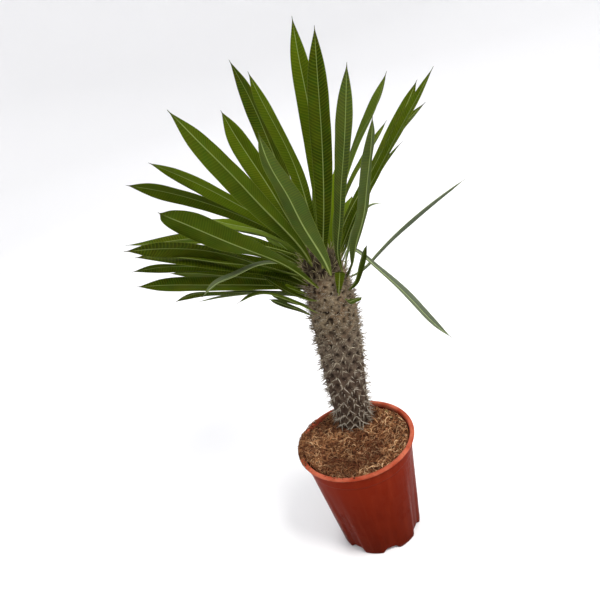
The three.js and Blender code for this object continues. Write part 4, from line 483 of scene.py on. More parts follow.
def leaf_material():
    N = Nodes("leaf_green")
    pos = N.attr("leafpos").outputs["Vector"]
    sep = N.new("ShaderNodeSeparateXYZ")
    N.link(pos, sep.inputs[0])
    across, along, half = sep.outputs
    share = N.attr("share").outputs["Fac"]
    under = N.attr("under").outputs["Fac"]
    tone = N.attr("tone").outputs["Fac"]
    fresh_and_backlight = N.attr("fresh_and_backlight").outputs["Fac"]
    painted_sheen = N.attr("painted_sheen").outputs["Fac"]
    ab = N.math("ABSOLUTE", across)
    obj = N.obj()
    big = N.noise(obj, 30, 2)
    patch = N.noise(obj, 75, 2)
    fine = N.noise(obj, 420, 3)
    # side veins leave the midrib and bend towards the tip
    wobble = N.math("MULTIPLY", N.math("SUBTRACT", N.noise(obj, 80, 2), 0.5), 2.2)
    vcoord = N.math("SUBTRACT", N.math("SUBTRACT", along, N.math("MULTIPLY", ab, 0.40)), N.math("MULTIPLY", N.math("MULTIPLY", ab, ab), 0.008))
    vcoord = N.math("ADD", vcoord, wobble)
    wave = N.math("SINE", N.math("MULTIPLY", vcoord, 2 * math.pi / 3.7))
    vein = N.math("POWER", N.range(wave, -1, 1), 3.0)
    wave2 = N.math("SINE", N.math("MULTIPLY", N.math("ADD", vcoord, 0.9), 2 * math.pi / 1.85))
    vein2 = N.range(wave2, -1, 1)
    edge_in = N.math("SUBTRACT", half, ab)
    # midrib line, broad at the foot and fine at the tip
    ribw = N.range(share, 0.0, 1.0, 1.15, 0.60)
    ribw_under = N.math("MULTIPLY", ribw, N.range(under, 0.0, 1.0, 1.0, 1.3))
    rib = N.range(N.math("DIVIDE", ab, ribw_under), 0.40, 1.0, 1.0, 0.0, smooth=True)
    margin = N.range(edge_in, 0.20, 0.75, 1.0, 0.0, smooth=True)
    col = N.mix(N.range(big, 0.32, 0.68), srgb(44, 56, 6), srgb(66, 76, 11))
    col = N.mix(N.range(patch, 0.50, 0.66, 0.0, 0.55), col, srgb(46, 74, 14))
    col = N.mix(N.range(patch, 0.45, 0.32, 0.0, 0.45), col, srgb(66, 62, 8))
    # young leaves are yellow-green; the same mix paints the glow of backlit leaves
    col = N.mix(N.math("MULTIPLY", fresh_and_backlight, 0.80), col, srgb(92, 112, 14))
    # yellow-green at the foot; painted shade darkens the inner half towards the crown; darker towards the tip
    col = N.mix(N.range(share, 0.14, 0.0, 0.0, 0.6, smooth=True), col, srgb(104, 106, 26))
    # painted shade: the inner half of each blade darkens towards the crown
    col = N.mix(N.range(share, 0.50, 0.10, 0.0, 0.42, smooth=True), col, srgb(30, 46, 4))
    col = N.mix(N.range(share, 0.93, 1.0, 0.0, 0.8, smooth=True), col, srgb(52, 46, 22))
    col = N.mix(N.math("MULTIPLY", vein2, 0.27), col, srgb(30, 38, 3))
    col = N.mix(N.math("MULTIPLY", vein, N.range(under, 0, 1, 0.38, 0.28)), col, srgb(101, 113, 26))
    col = N.mix(N.math("MULTIPLY", under, 0.30), col, srgb(74, 92, 22))
    # painted sheen: some leaves are washed pale where the bright surroundings glance off them
    col = N.mix(N.math("MULTIPLY", painted_sheen, N.range(fine, 0.2, 0.8, 0.70, 1.0)), col, srgb(112, 120, 102))
    col = N.mix(N.math("MULTIPLY", margin, N.range(share, 0.93, 0.99, 0.55, 0.0)), col, srgb(118, 128, 62))
    ribcol = N.mix(share, srgb(136, 148, 84), srgb(124, 138, 76))
    ribcol = N.mix(N.range(share, 0.10, 0.0, 0.0, 0.6, smooth=True), ribcol, srgb(120, 120, 48))
    # the painted sheen pales the midrib too
    ribcol = N.mix(N.math("MULTIPLY", painted_sheen, 0.85), ribcol, srgb(182, 196, 140))
    col = N.mix(N.math("MULTIPLY", rib, N.range(share, 0.93, 0.99, 0.92, 0.0)), col, ribcol)
    col = N.mix(N.range(fine, 0.25, 0.8, 0.0, 0.10), col, srgb(40, 48, 14))
    # per-leaf brightness: the leaf's own shade plus painted light and shade
    hsv = N.new("ShaderNodeHueSaturation")
    N.put(hsv.inputs["Value"], tone)
    N.put(hsv.inputs["Color"], col)
    N.link(hsv.outputs[0], N.bsdf.inputs["Base Color"])
    N.put(N.bsdf.inputs["Roughness"], N.range(N.math("ADD", fine, N.math("MULTIPLY", under, 0.35)), 0.2, 1.2, 0.42, 0.58))
    N.bsdf.inputs["Specular IOR Level"].default_value = 0.011
    hgt = N.math("ADD", N.math("MULTIPLY", vein, -0.5), N.math("MULTIPLY", rib, 0.6))
    hgt = N.math("ADD", hgt, N.math("MULTIPLY", vein2, 0.25))
    N.link(N.bump(hgt, 0.34, 0.0004), N.bsdf.inputs["Normal"])
    # light comes through the blade
    tr = N.new("ShaderNodeBsdfTranslucent")
    bright = N.new("ShaderNodeHueSaturation")
    bright.inputs["Value"].default_value = 2.1
    bright.inputs["Saturation"].default_value = 1.15
    N.link(hsv.outputs[0], bright.inputs["Color"])
    N.link(bright.outputs[0], tr.inputs["Color"])
    sh = N.new("ShaderNodeMixShader")
    sh.inputs[0].default_value = 0.22
    N.link(N.bsdf.outputs[0], sh.inputs[1])
    N.link(tr.outputs[0], sh.inputs[2])
    out = N.t.nodes["Material Output"]
    N.link(sh.outputs[0], out.inputs["Surface"])
    return N.m


LEAF = leaf_material()
for k, row in enumerate(LEAVES):
    o = leaf_mesh(row, k)
    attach(o, "root")
    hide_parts(row[0])


# ------------------------------------------------------------------ stem skin
def stem_material():
    N = Nodes("stem_bark")
    ridge = N.attr("ridge").outputs["Fac"]
    pit = N.attr("pit").outputs["Fac"]
    hz = N.attr("height").outputs["Fac"]  # 0 at the soil .. 1 at the tip
    obj = N.obj()
    n1 = N.noise(obj, 150, 3)
    n2 = N.noise(obj, 620, 4, 0.65)
    n3 = N.noise(obj, 42, 2)
    n4 = N.noise(obj, 260, 2)
    low = N.mix(N.range(n1, 0.34, 0.66), srgb(64, 50, 42), srgb(94, 79, 67))
    mid = N.mix(N.range(n1, 0.34, 0.66), srgb(78, 65, 55), srgb(115, 102, 87))
    upp = N.mix(N.range(n1, 0.34, 0.66), srgb(96, 81, 63), srgb(146, 130, 105))
    col = N.mix(N.range(hz, 0.34, 0.50, 0.0, 1.0, smooth=True), low, mid)
    col = N.mix(N.range(hz, 0.52, 0.68, 0.0, 1.0, smooth=True), col, upp)
    redd = N.math("MULTIPLY", N.range(hz, 0.50, 0.62, 0.0, 1.0, smooth=True), N.range(n3, 0.50, 0.62))
    col = N.mix(N.math("MULTIPLY", redd, 0.40), col, srgb(122, 90, 68))
    pore = N.attr("pore").outputs["Fac"]
    # painted shade: the skin under the leaf crown is painted near black
    dark = N.range(hz, 0.84, 0.93, 0.0, 1.0, smooth=True)
    col = N.mix(N.math("MULTIPLY", dark, 0.90), col, srgb(37, 31, 15))
    col = N.mix(N.math("MULTIPLY", ridge, 0.55), col, N.mix(N.range(n4, 0.3, 0.7), srgb(124, 112, 94), srgb(160, 148, 126)))
    # darker bark plus painted shade: the hollows between the cushions and the small pores are painted near black
    col = N.mix(N.math("MULTIPLY", pit, 0.97), col, srgb(25, 18, 13))
    col = N.mix(N.math("MULTIPLY", pore, 0.92), col, srgb(28, 20, 14))
    col = N.mix(N.range(n2, 0.38, 0.56, 0.52, 0.0), col, srgb(44, 34, 26))
    N.link(col, N.bsdf.inputs["Base Color"])
    N.put(N.bsdf.inputs["Roughness"], N.range(n2, 0.2, 0.8, 0.75, 0.95))
    N.bsdf.inputs["Specular IOR Level"].default_value = 0.05
    hh = N.math("ADD", n2, N.math("MULTIPLY", n1, 0.7))
    N.link(N.bump(hh, 0.8, 0.0012), N.bsdf.inputs["Normal"])
    return N.m


BARK = stem_material()


def seg_dist(P, A, B):
    ab = B - A
    t = np.clip(((P - A) * ab).sum(-1) / np.maximum((ab * ab).sum(-1), 1e-9), 0, 1)
    return np.linalg.norm(P - (A + ab * t[..., None]), axis=-1)


def build_stem():
    zz = np.concatenate([np.arange(121, 440, 0.35), np.arange(440, 461.45, 0.03)])
    L = np.concatenate([[0], np.cumsum(np.hypot(np.diff(zz), np.diff(stem_r(zz))))])
    rows = int(L[-1] / 1.12)
    z = np.interp(np.linspace(0, L[-1] - 0.8, rows), L, zz)
    K = 176
    ang = np.arange(K) * 2 * np.pi / K
    Z, A = np.meshgrid(z, ang, indexing="ij")
    P, n = on_stem(A.ravel(), Z.ravel())
    # nearest cushions
    D2 = ((P[:, None, :] - NODE_P[None]) ** 2).sum(-1) if len(P) * NN < 3e7 else None
    idx = np.argpartition(D2, 6, axis=1)[:, :6]
    dn = np.sqrt(np.take_along_axis(D2, idx, 1).min(1))
    dr = np.full(len(P), 1e9)
    for k in range(6):
        i = idx[:, k]
        for step in (8, 13, -8, -13):
            j = i + step
            ok = (j >= 0) & (j < NN)
            jj = np.clip(j, 0, NN - 1)
            dd = seg_dist(P, NODE_P[i], NODE_P[jj])
            dr = np.minimum(dr, np.where(ok, dd, 1e9))
    cells = np.arange(NN - 21)
    cc = (NODE_P[cells] + NODE_P[cells + 8] + NODE_P[cells + 13] + NODE_P[cells + 21]) / 4
    dc = np.sqrt(((P[:, None, :] - cc[None]) ** 2).sum(-1).min(1))
    zf = P[:, 2]
    upf = np.clip((zf - 318) / 44, 0, 1)
    jit = noise3(P, 3, 3, 9.0)
    lump = noise3(P, 21, 2, 5.5)
    deep = (2.4 - 0.7 * upf) * np.clip(stem_r(zf) / 26, 0.2, 1)
    ridge = np.exp(-((dr / (1.25 + 0.25 * jit)) ** 2)) * (0.55 + 0.45 * np.clip(lump * 2, -1, 1)) * (1 - 0.75 * upf)
    wide = 2.4 + 1.2 * upf + 0.8 * jit
    knob = np.exp(-((dn / wide) ** 2))
    midf = np.clip((zf - 246) / 24, 0, 1) * (1 - np.clip((zf - 326) / 40, 0, 1))
    pit = np.exp(-((dc / (3.9 - 0.6 * midf - 1.7 * upf + (0.8 + 0.9 * midf) * jit)) ** 2.6))
    h = -deep + deep * 0.42 * ridge + (1.1 + 1.2 * upf) * knob + 0.35 * deep * np.exp(-((dr / 4.0) ** 2))
    h = h - (0.5 + 1.6 * midf + 1.3 * upf) * pit * np.clip(stem_r(zf) / 26, 0.2, 1)
    pore = np.clip((-noise3(P, 31, 2, 5.2) - 0.30) * 6.0, 0, 1) * (0.25 + 0.75 * upf)
    h = h + 0.60 * noise3(P, 5, 3, 3.2) + 0.40 * jit + 0.75 * np.maximum(upf, midf) * lump - 1.1 * pore
    Pn = P + n * h[:, None]
    end = stem_axis(461.3)
    verts = np.vstack([Pn, stem_axis(121.0), end])
    q = grid_faces(rows, K)
    j = np.arange(K)
    c0, c1 = rows * K, rows * K + 1
    tri0 = np.stack([np.full(K, c0), (j + 1) % K, j], 1)
    tri1 = np.stack([np.full(K, c1), (rows - 1) * K + j, (rows - 1) * K + (j + 1) % K], 1)
    ext = lambda a, x: np.concatenate([a, [x, x]])
    return make_mesh("stem", verts, [q, tri0, tri1], attrs={
        "ridge": ext(np.clip(ridge * 0.45 + knob * 0.6, 0, 1), 0.3),
        "pit": ext(np.clip(pit * (0.60 + 0.40 * np.maximum(upf, midf)), 0, 1), 0),
        "pore": ext(pore, 0),
        "height": ext((zf - 155) / 306, 1)}, mats=[BARK])


stem = build_stem()
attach(stem, "root")
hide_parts("trunk")


def spine_material():
    N = Nodes("spine_horn")
    along = N.attr("along").outputs["Fac"]
    hz = N.attr("height").outputs["Fac"]
    tint = N.attr("tint").outputs["Fac"]
    obj = N.obj()
    n1 = N.noise(obj, 300, 2)
    low = N.ramp(along, [(0.0, srgb(168, 158, 142)), (0.45, srgb(184, 175, 160)), (0.75, srgb(130, 120, 106)), (1.0, srgb(62, 54, 46))])
    mid = N.ramp(along, [(0.0, srgb(146, 134, 114)), (0.40, srgb(176, 165, 145)), (0.68, srgb(112, 102, 88)), (1.0, srgb(48, 41, 35))])
    # in the crown the spine bases start near black: painted shade under the leaves, matching the crown skin
    upp = N.ramp(along, [(0.0, srgb(40, 30, 16)), (0.22, srgb(84, 70, 42)), (0.50, srgb(176, 164, 118)), (0.80, srgb(196, 184, 142)), (1.0, srgb(96, 80, 56))])
    col = N.mix(N.range(hz, 0.32, 0.46, 0.0, 1.0, smooth=True), low, mid)
    col = N.mix(N.range(hz, 0.83, 0.90, 0.0, 1.0, smooth=True), col, upp)
    col = N.mix(N.range(tint, 0.45, 1.0, 0.0, 0.7), col, srgb(82, 68, 52))
    col = N.mix(N.range(n1, 0.35, 0.7, 0.0, 0.35), col, srgb(84, 74, 60))
    N.link(col, N.bsdf.inputs["Base Color"])
    N.bsdf.inputs["Roughness"].default_value = 0.6
    N.bsdf.inputs["Specular IOR Level"].default_value = 0.08
    N.link(N.bump(n1, 0.3, 0.0003), N.bsdf.inputs["Normal"])
    return N.m


SPINE = spine_material()


def build_spines():
    up = np.array([0, 0, 1.0])
    paths, rad, tint = [], [], []
    K = 5
    tt = np.linspace(0, 1, K)
    r3 = np.random.default_rng(77)

    def one(p, n, tu, sd, L, a, b, c, base, loose=0.13):
        j = r3.normal(0, loose, 3)
        dirv = unit(n * (a + j[0] * 0.6) + tu * (b + j[1]) + sd * (c + j[2]))
        L = L * r3.uniform(0.74, 1.12)
        bend = unit(np.cross(dirv, sd)) * r3.uniform(-0.4, 0.8)
        start = p - n * 1.6 + (tu * r3.uniform(-0.8, 0.8) + sd * r3.uniform(-0.8, 0.8))
        paths.append(start + dirv * (tt * L)[:, None] + bend * (tt**2)[:, None])
        rad.append(base * r3.uniform(0.85, 1.15) * (1 - tt) + 0.06)
        tint.append(r3.uniform(0, 1))

    def frame_at(p, n):
        tu = unit(up - n * (up @ n)) if abs(n[2]) < 0.97 else unit(np.array([1.0, 0, 0]) - n * n[0])
        return tu, np.cross(tu, n)

    for i in range(NN):
        zc = NODE_Z[i]
        if zc < SOIL_TOP - 3:
            continue
        p, n = NODE_P[i], NODE_N[i]
        tu, sd = frame_at(p, n)
        # length, outward, up, sideways, base radius
        if zc > 412:
            top = 1 - 0.35 * np.clip((zc - 440) / 15, 0, 1)
            specs = [(17, 0.62, 0.50, -0.45), (17, 0.62, 0.50, 0.45), (14.5, 0.80, 0.30, -0.12), (15.5, 0.50, 0.75, 0.10), (13, 0.85, 0.05, 0.40), (13, 0.85, 0.0, -0.42), (11, 0.7, -0.35, 0.1)]
            if zc > 434:  # round the growing tip they are fewer, longer and stand more upright
                specs = [(21, 0.55, 0.62, -0.40), (21, 0.55, 0.62, 0.40), (17, 0.75, 0.40, -0.10), (14, 0.80, 0.15, 0.30)]
            for L, a, b, c in specs:
                one(p, n, tu, sd, L * top, a, b, c, 0.46, 0.14)
            continue
        f = np.clip((zc - 300) / 46, 0, 1)
        g = np.clip((zc - 246) / 26, 0, 1) * (1 - f)  # the untidy middle
        one(p, n, tu, sd, 15.5 - 1.2 * f - 1.0 * g, 0.70 + 0.22 * f, -0.34 + 0.66 * f, -0.62 + 0.34 * f, 0.80, 0.10 + 0.15 * g + 0.1 * f)
        one(p, n, tu, sd, 15.5 - 1.2 * f - 1.0 * g, 0.70 + 0.22 * f, -0.34 + 0.66 * f, 0.62 - 0.34 * f, 0.80, 0.10 + 0.15 * g + 0.1 * f)
        one(p, n, tu, sd, 10.5 - 0.5 * f, 0.93, 0.22 + 0.20 * f, 0.0, 0.74, 0.2)
        one(p, n, tu, sd, 9.0, 0.80, 0.05 + 0.3 * f, r3.choice([-0.55, 0.55]), 0.60, 0.3)
        if r3.uniform() < 0.35 + 0.5 * g + 0.3 * f:
            one(p, n, tu, sd, 8.0, 0.85, -0.25 + 0.4 * f, r3.uniform(-0.4, 0.4), 0.60, 0.3)
    # short spines and stubs between the cushions, mostly on the upper half
    count = 0
    while count < 1250:
        zc = r3.uniform(186, 414)
        if r3.uniform() > 0.22 + 0.78 * np.clip((zc - 296) / 40, 0, 1):
            continue
        q, n = on_stem(np.array([r3.uniform(0, 2 * np.pi)]), np.array([zc]))
        tu, sd = frame_at(q[0], n[0])
        one(q[0], n[0], tu, sd, r3.uniform(4.5, 10.0), 0.92, 0.18, 0.0, r3.uniform(0.50, 0.80), 0.30)
        count += 1
    paths, rad = np.array(paths), np.array(rad)
    v, f, share = tubes(paths, rad, 5)
    return make_mesh("stem_spines", v, f, attrs={"along": share, "tint": np.repeat(tint, K * 5), "height": (v[:, 2] - 155) / 306}, mats=[SPINE])


sp = build_spines()
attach(sp, "root")


# ------------------------------------------------------------------ pot
def channel(deg):
    pitch = 360 / LOBES
    x = np.abs((deg - POT_CHANNEL0 + pitch / 2) % pitch - pitch / 2)
    # a flat-topped arch with soft flanks
    t = np.clip((x - 5.2) / 8.6, 0, 1)
    return 1 - t * t * (3 - 2 * t)


PROFILE_OUT = [(0.0, 60.0), (0.5, 60.5), (1.6, 60.85), (7, 61.4), (45, 65.9), (95, 71.5), (145.6, 77.2), (146.5, 77.35), (147.0, 77.75), (147.6, 78.15), (148.6, 78.3), (156, 79.1), (162.6, 79.75), (164.0, 80.05), (164.8, 80.7), (165.5, 81.9), (166.1, 83.2), (166.9, 84.3), (167.9, 84.95), (168.7, 85.0), (169.5, 84.5), (170.1, 83.4), (170.45, 82.0), (170.45, 80.8), (170.1, 79.6), (169.4, 78.75), (168.4, 78.3), (166, 77.95), (146.5, 75.5), (95, 69.6), (45, 64.0), (12, 59.9), (7, 58.9), (4.2, 57.6), (3.0, 55.8)]


def build_pot():
    K = LOBES * 44
    deg = POT_CHANNEL0 + np.arange(K) * 360 / K
    c = channel(deg)
    rad = np.radians(deg)
    prof = np.array(PROFILE_OUT)
    # refine the long straight stretches
    pts = [prof[0]]
    for a, b in zip(prof[:-1], prof[1:]):
        m = max(1, int(np.hypot(*(b - a)) / 6))
        for q in range(1, m + 1):
            pts.append(a + (b - a) * q / m)
    prof = np.array(pts)
    rings = []
    top = int(np.argmax(prof[:, 0]))
    for i, (z, r) in enumerate(prof):
        fl = 3.1 * np.clip(1 - z / 150, 0, 1) ** 0.85
        rise = 4.8 * np.clip(1 - z / (9 if i < top else 14), 0, 1) ** 1.2
        rr = r - fl * c
        zz = z + rise * c
        rings.append(np.stack([rr * np.cos(rad), rr * np.sin(rad), zz], 1))
    inner = [np.stack([q * np.cos(rad), q * np.sin(rad), 2.2 + 4.8 * c * np.clip((q - 27) / 13, 0, 1)], 1) for q in (52, 47, 41, 34, 27, 14)]
    outer = [np.stack([q * np.cos(rad), q * np.sin(rad), 4.8 * c * np.clip((q - 27) / 13, 0, 1)], 1) for q in (14, 27, 34, 41, 47, 52, 57)]
    rings = outer + rings + inner
    R = len(rings)
    verts = np.vstack(rings + [np.array([[0, 0, 0.0], [0, 0, 2.2]])])
    q = grid_faces(R, K)
    j = np.arange(K)
    tri0 = np.stack([np.full(K, R * K), (j + 1) % K, j], 1)
    tri1 = np.stack([np.full(K, R * K + 1), (R - 1) * K + j, (R - 1) * K + (j + 1) % K], 1)
    o = make_mesh("pot_shell", verts, [q, tri0, tri1], mats=[POT], sharp_deg=50)
    # drainage holes, one in each channel
    bm = bmesh.new()
    for i in range(LOBES):
        a = math.radians(POT_CHANNEL0 + 360 * i / LOBES)
        m = Matrix.Translation((46 * math.cos(a) * MM, 46 * math.sin(a) * MM, 5 * MM))
        bmesh.ops.create_cone(bm, cap_ends=True, segments=28, radius1=3.5 * MM, radius2=3.5 * MM, depth=0.02, matrix=m)
    cut = bpy.data.meshes.new("cut")
    bm.to_mesh(cut)
    bm.free()
    co = bpy.data.objects.new("cut", cut)
    scene.collection.objects.link(co)
    mod = o.modifiers.new("holes", "BOOLEAN")
    mod.operation = "DIFFERENCE"
    mod.object = co
    mod.solver = "EXACT"
    dg = bpy.context.evaluated_depsgraph_get()
    made = bpy.data.meshes.new_from_object(o.evaluated_get(dg))
    o.modifiers.clear()
    o.data = made
    bpy.data.objects.remove(co)
    return o


def pot_material():
    N = Nodes("pot_plastic")
    obj = N.obj()
    sep = N.new("ShaderNodeSeparateXYZ")
    N.link(obj, sep.inputs[0])
    z = sep.outputs[2]
    big = N.noise(obj, 14, 3)
    st = N.noise(N.obj((70, 70, 5)), 1.0, 3)
    fine = N.noise(obj, 900, 2)
    up = N.range(z, 0.0, 0.150)
    col = N.mix(up, srgb(70, 16, 5), srgb(106, 29, 12))
    col = N.mix(N.range(big, 0.35, 0.65, 0.0, 0.25), col, srgb(118, 36, 17))
    col = N.mix(N.range(st, 0.50, 0.70, 0.0, 0.18), col, srgb(136, 52, 30))
    # the rolled rim is paler: painted light on the lip, which faces up to the lamps
    rim = N.range(z, 0.1635, 0.1665, 0.0, 1.0, smooth=True)
    col = N.mix(N.math("MULTIPLY", rim, 0.9), col, N.mix(N.range(N.noise(obj, 45, 3), 0.35, 0.65), srgb(144, 58, 38), srgb(180, 96, 72)))
    # painted shade: a thin dark line under the collar step, and a dark band under the rim
    collar_shade = N.math("MULTIPLY", N.range(z, 0.1447, 0.1460, 0.0, 1.0, smooth=True), N.range(z, 0.1466, 0.1476, 1.0, 0.0, smooth=True))
    col = N.mix(N.math("MULTIPLY", collar_shade, 0.34), col, srgb(56, 12, 5))
    # painted shade under the rolled rim
    under_rim_shade = N.math("MULTIPLY", N.range(z, 0.1585, 0.1640, 0.0, 1.0, smooth=True), N.range(z, 0.1640, 0.1655, 1.0, 0.0, smooth=True))
    col = N.mix(N.math("MULTIPLY", under_rim_shade, 0.45), col, srgb(66, 15, 6))
    # fine scuffs and dust
    sc = N.noise(N.obj((190, 190, 16)), 1.0, 4, 0.7)
    col = N.mix(N.range(sc, 0.62, 0.78, 0.0, 0.10), col, srgb(150, 88, 66))
    dust = N.math("MULTIPLY", N.range(N.noise(obj, 240, 4, 0.7), 0.56, 0.68), N.range(z, 0.150, 0.171, 0.0, 0.75))
    col = N.mix(dust, col, srgb(104, 70, 46))
    N.link(col, N.bsdf.inputs["Base Color"])
    N.put(N.bsdf.inputs["Roughness"], N.math("ADD", N.range(big, 0.3, 0.7, 0.24, 0.32), N.range(sc, 0.5, 0.8, 0.0, 0.14)))
    N.bsdf.inputs["Specular IOR Level"].default_value = 0.007
    N.link(N.bump(N.math("ADD", N.math("MULTIPLY", fine, 0.05), st), 0.22, 0.0006), N.bsdf.inputs["Normal"])
    return N.m


POT = pot_material()
pot = build_pot()
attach(pot, "root")
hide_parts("pot")


# ------------------------------------------------------------------ young leaves at the growing tip
def build_young():
    r8 = np.random.default_rng(88)
    zz = np.linspace(448, 461.4, 400)
    rr = stem_r(zz)
    for i in range(13):
        a = 0.7 + i * math.radians(137.5)
        rho = 1.4 + 0.42 * i
        z = float(np.interp(-rho, -rr, zz))
        if i in (8, 10, 12):  # older leaves stand there
            continue
        c = stem_axis(np.array(z))
        out = np.array([math.cos(a), math.sin(a), 0.0])
        foot = c + out * (rho - 0.4) + [0, 0, -0.8]
        L = 15 + 3.6 * i + r8.uniform(-2, 2)
        lean = math.radians(5 + 2.5 * i + r8.uniform(-3, 3))
        up = unit(stem_axis(np.array(461.0)) - stem_axis(np.array(430.0)))
        s = np.array(SHARES)[:, None]
        d = up * math.cos(lean) + out * math.sin(lean)
        mid = foot + d * (s * L) + out * (0.10 * L * s**2)
        face = unit(up * 0.35 - out)
        row = ("young", 4.0 + 0.42 * i, 0, 26, 1.25, 1.0, 0, 0, mid.tolist(), [face.tolist()] * 4)
        o = leaf_mesh(row, 50 + i)
        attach(o, "root")


build_young()

# ------------------------------------------------------------------ soil
def soil_height(x, y):
    c = stem_axis(np.array(SOIL_TOP))
    off = np.maximum(0, np.hypot(x - c[0], y - c[1]) - stem_r(SOIL_TOP))
    bank = np.clip((0.70 * y - 0.71 * x) / 76 + 0.30, 0, 1)
    bank = bank * bank * (3 - 2 * bank)
    base = SOIL_TOP + 0.7 * np.sin(x / 17 + 1.3) * np.cos(y / 21 - 0.6) + 0.4 * np.sin((x - y) / 11) - SOIL_DISH * np.exp(-((off / 17) ** 2)) + 4.6 * bank
    P = np.stack([x, y, 0 * x], -1).reshape(-1, 3)
    lump = 2.4 * noise3(P, 11, 3, 14.0) + 1.9 * noise3(P, 12, 3, 5.0) + 0.7 * noise3(P, 13, 2, 2.2)
    # a loose edge: here and there the mix falls away from the wall
    edge = np.clip((np.hypot(x, y) - 68) / 7.5, 0, 1).reshape(-1)
    gap = np.clip(noise3(P, 15, 2, 16.0) * 1.8 + 0.15, 0, 1)
    pile = np.clip((-x - 44) / 24, 0, 1) * np.clip((y + 52) / 40, 0, 1) * np.clip((34 - y) / 24, 0, 1)
    z = base + (lump - 3.2 * edge**2 * gap).reshape(x.shape) + 2.2 * pile
    az = np.degrees(np.arctan2(y, x))
    z = z - 7.0 * np.exp(-(((az - 128) / 9) ** 2)) * np.clip((np.hypot(x, y) - 69) / 5, 0, 1)
    return np.minimum(z, 171.2)


def soil_shade(x, y):
    """0 pale .. 1 dark and reddish: painted shade round the stem's foot, plus darker patches and a darker front."""
    c = stem_axis(np.array(SOIL_TOP))
    off = np.maximum(0, np.hypot(x - c[0], y - c[1]) - stem_r(SOIL_TOP))
    P = np.stack([x, y, 0 * x], -1).reshape(-1, 3)
    patch = np.clip(noise3(P, 43, 2, 24.0).reshape(x.shape) * 2.4 + 0.05, 0, 1)
    front = np.exp(-(((x + 8) / 30) ** 2 + ((y + 38) / 24) ** 2))
    # painted shade round the stem's foot
    foot = np.exp(-((off / 11) ** 2))
    return np.clip(0.75 * patch + 0.75 * front + 0.6 * foot - 0.15, 0, 1)


def soil_material():
    N = Nodes("soil_coir")
    obj = N.obj()
    damp_and_shade = N.attr("damp_and_shade").outputs["Fac"]
    n1 = N.noise(obj, 80, 4, 0.6)
    n2 = N.noise(obj, 460, 5, 0.7)
    n3 = N.noise(obj, 170, 5, 0.7, 1.4)
    n4 = N.noise(obj, 28, 2)
    col = N.mix(N.range(n1, 0.38, 0.62), srgb(30, 16, 9), srgb(62, 36, 21))
    col = N.mix(N.range(n3, 0.50, 0.62), col, srgb(112, 70, 44))
    col = N.mix(N.range(n4, 0.42, 0.60, 0.35, 0.0), col, srgb(48, 28, 18))
    # darker and redder with the soil_shade value: painted shade round the stem's foot, darker patches and front
    col = N.mix(N.math("MULTIPLY", damp_and_shade, 0.74), col, srgb(56, 25, 13))
    col = N.mix(N.range(n2, 0.47, 0.62, 0.0, 0.92), col, srgb(26, 14, 8))
    N.link(col, N.bsdf.inputs["Base Color"])
    N.bsdf.inputs["Roughness"].default_value = 0.95
    N.bsdf.inputs["Specular IOR Level"].default_value = 0.05
    N.link(N.bump(N.math("ADD", n2, n3), 1.0, 0.0025), N.bsdf.inputs["Normal"])
    return N.m


SOIL = soil_material()


def build_soil():
    K = 260
    a = np.arange(K) * 2 * np.pi / K
    rings = []
    for r, z in ((20, 3.6), (45, 8.2), (55, 9.4), (58.6, 14)):
        rings.append(np.stack([r * np.cos(a), r * np.sin(a), 0 * a + z], 1))
    rings.append(np.stack([62.0 * np.cos(a), 62.0 * np.sin(a), 0 * a + 45], 1))
    rings.append(np.stack([68.4 * np.cos(a), 68.4 * np.sin(a), 0 * a + 95], 1))
    rings.append(np.stack([74.6 * np.cos(a), 74.6 * np.sin(a), 0 * a + 146], 1))
    top = np.concatenate([[77.3, 77.0, 76.4], np.linspace(75.6, 1.2, 74)])
    for k, r in enumerate(top):
        x, y = r * np.cos(a), r * np.sin(a)
        zt = soil_height(x, y)
        if k == 0:
            zt = zt - 2.4
        if k == 1:
            zt = zt - 1.0
        rings.append(np.stack([x, y, zt], 1))
    R = len(rings)
    c = soil_height(np.zeros(1), np.zeros(1))[0]
    verts = np.vstack(rings + [np.array([[0, 0, 3.6], [0, 0, c]])])
    q = grid_faces(R, K)
    j = np.arange(K)
    tri0 = np.stack([np.full(K, R * K), (j + 1) % K, j], 1)
    tri1 = np.stack([np.full(K, R * K + 1), (R - 1) * K + j, (R - 1) * K + (j + 1) % K], 1)
    return make_mesh("soil_bed", verts, [q, tri0, tri1], attrs={"damp_and_shade": soil_shade(verts[:, 0], verts[:, 1])}, mats=[SOIL])


bed = build_soil()
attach(bed, "root")
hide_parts("soil")


def fibre_material(name, stops):
    N = Nodes(name)
    tone = N.attr("tint").outputs["Fac"]
    obj = N.obj()
    damp_and_shade = N.attr("damp_and_shade").outputs["Fac"]
    col = N.ramp(tone, stops)
    # darker with the soil_shade value: painted shade round the stem's foot, darker patches and front
    col = N.mix(N.math("MULTIPLY", damp_and_shade, 0.66), col, srgb(86, 43, 25))
    col = N.mix(N.range(N.noise(obj, 500, 3), 0.35, 0.7, 0.0, 0.35), col, srgb(64, 38, 24))
    N.link(col, N.bsdf.inputs["Base Color"])
    N.bsdf.inputs["Roughness"].default_value = 0.8
    N.bsdf.inputs["Specular IOR Level"].default_value = 0.10
    return N.m


def scatter_disc(n, r4, rmax=76.0):
    """Points on the soil, outside the stem."""
    out = np.zeros((0, 2))
    c = stem_axis(np.array(SOIL_TOP))
    while len(out) < n:
        q = r4.uniform(-rmax, rmax, (n * 2, 2))
        ok = (np.hypot(q[:, 0], q[:, 1]) < rmax) & (np.hypot(q[:, 0] - c[0], q[:, 1] - c[1]) > stem_r(SOIL_TOP) - 2)
        ok &= r4.uniform(0, 1, len(q)) > 0.45 * soil_shade(q[:, 0], q[:, 1])
        out = np.vstack([out, q[ok]])
    return out[:n]


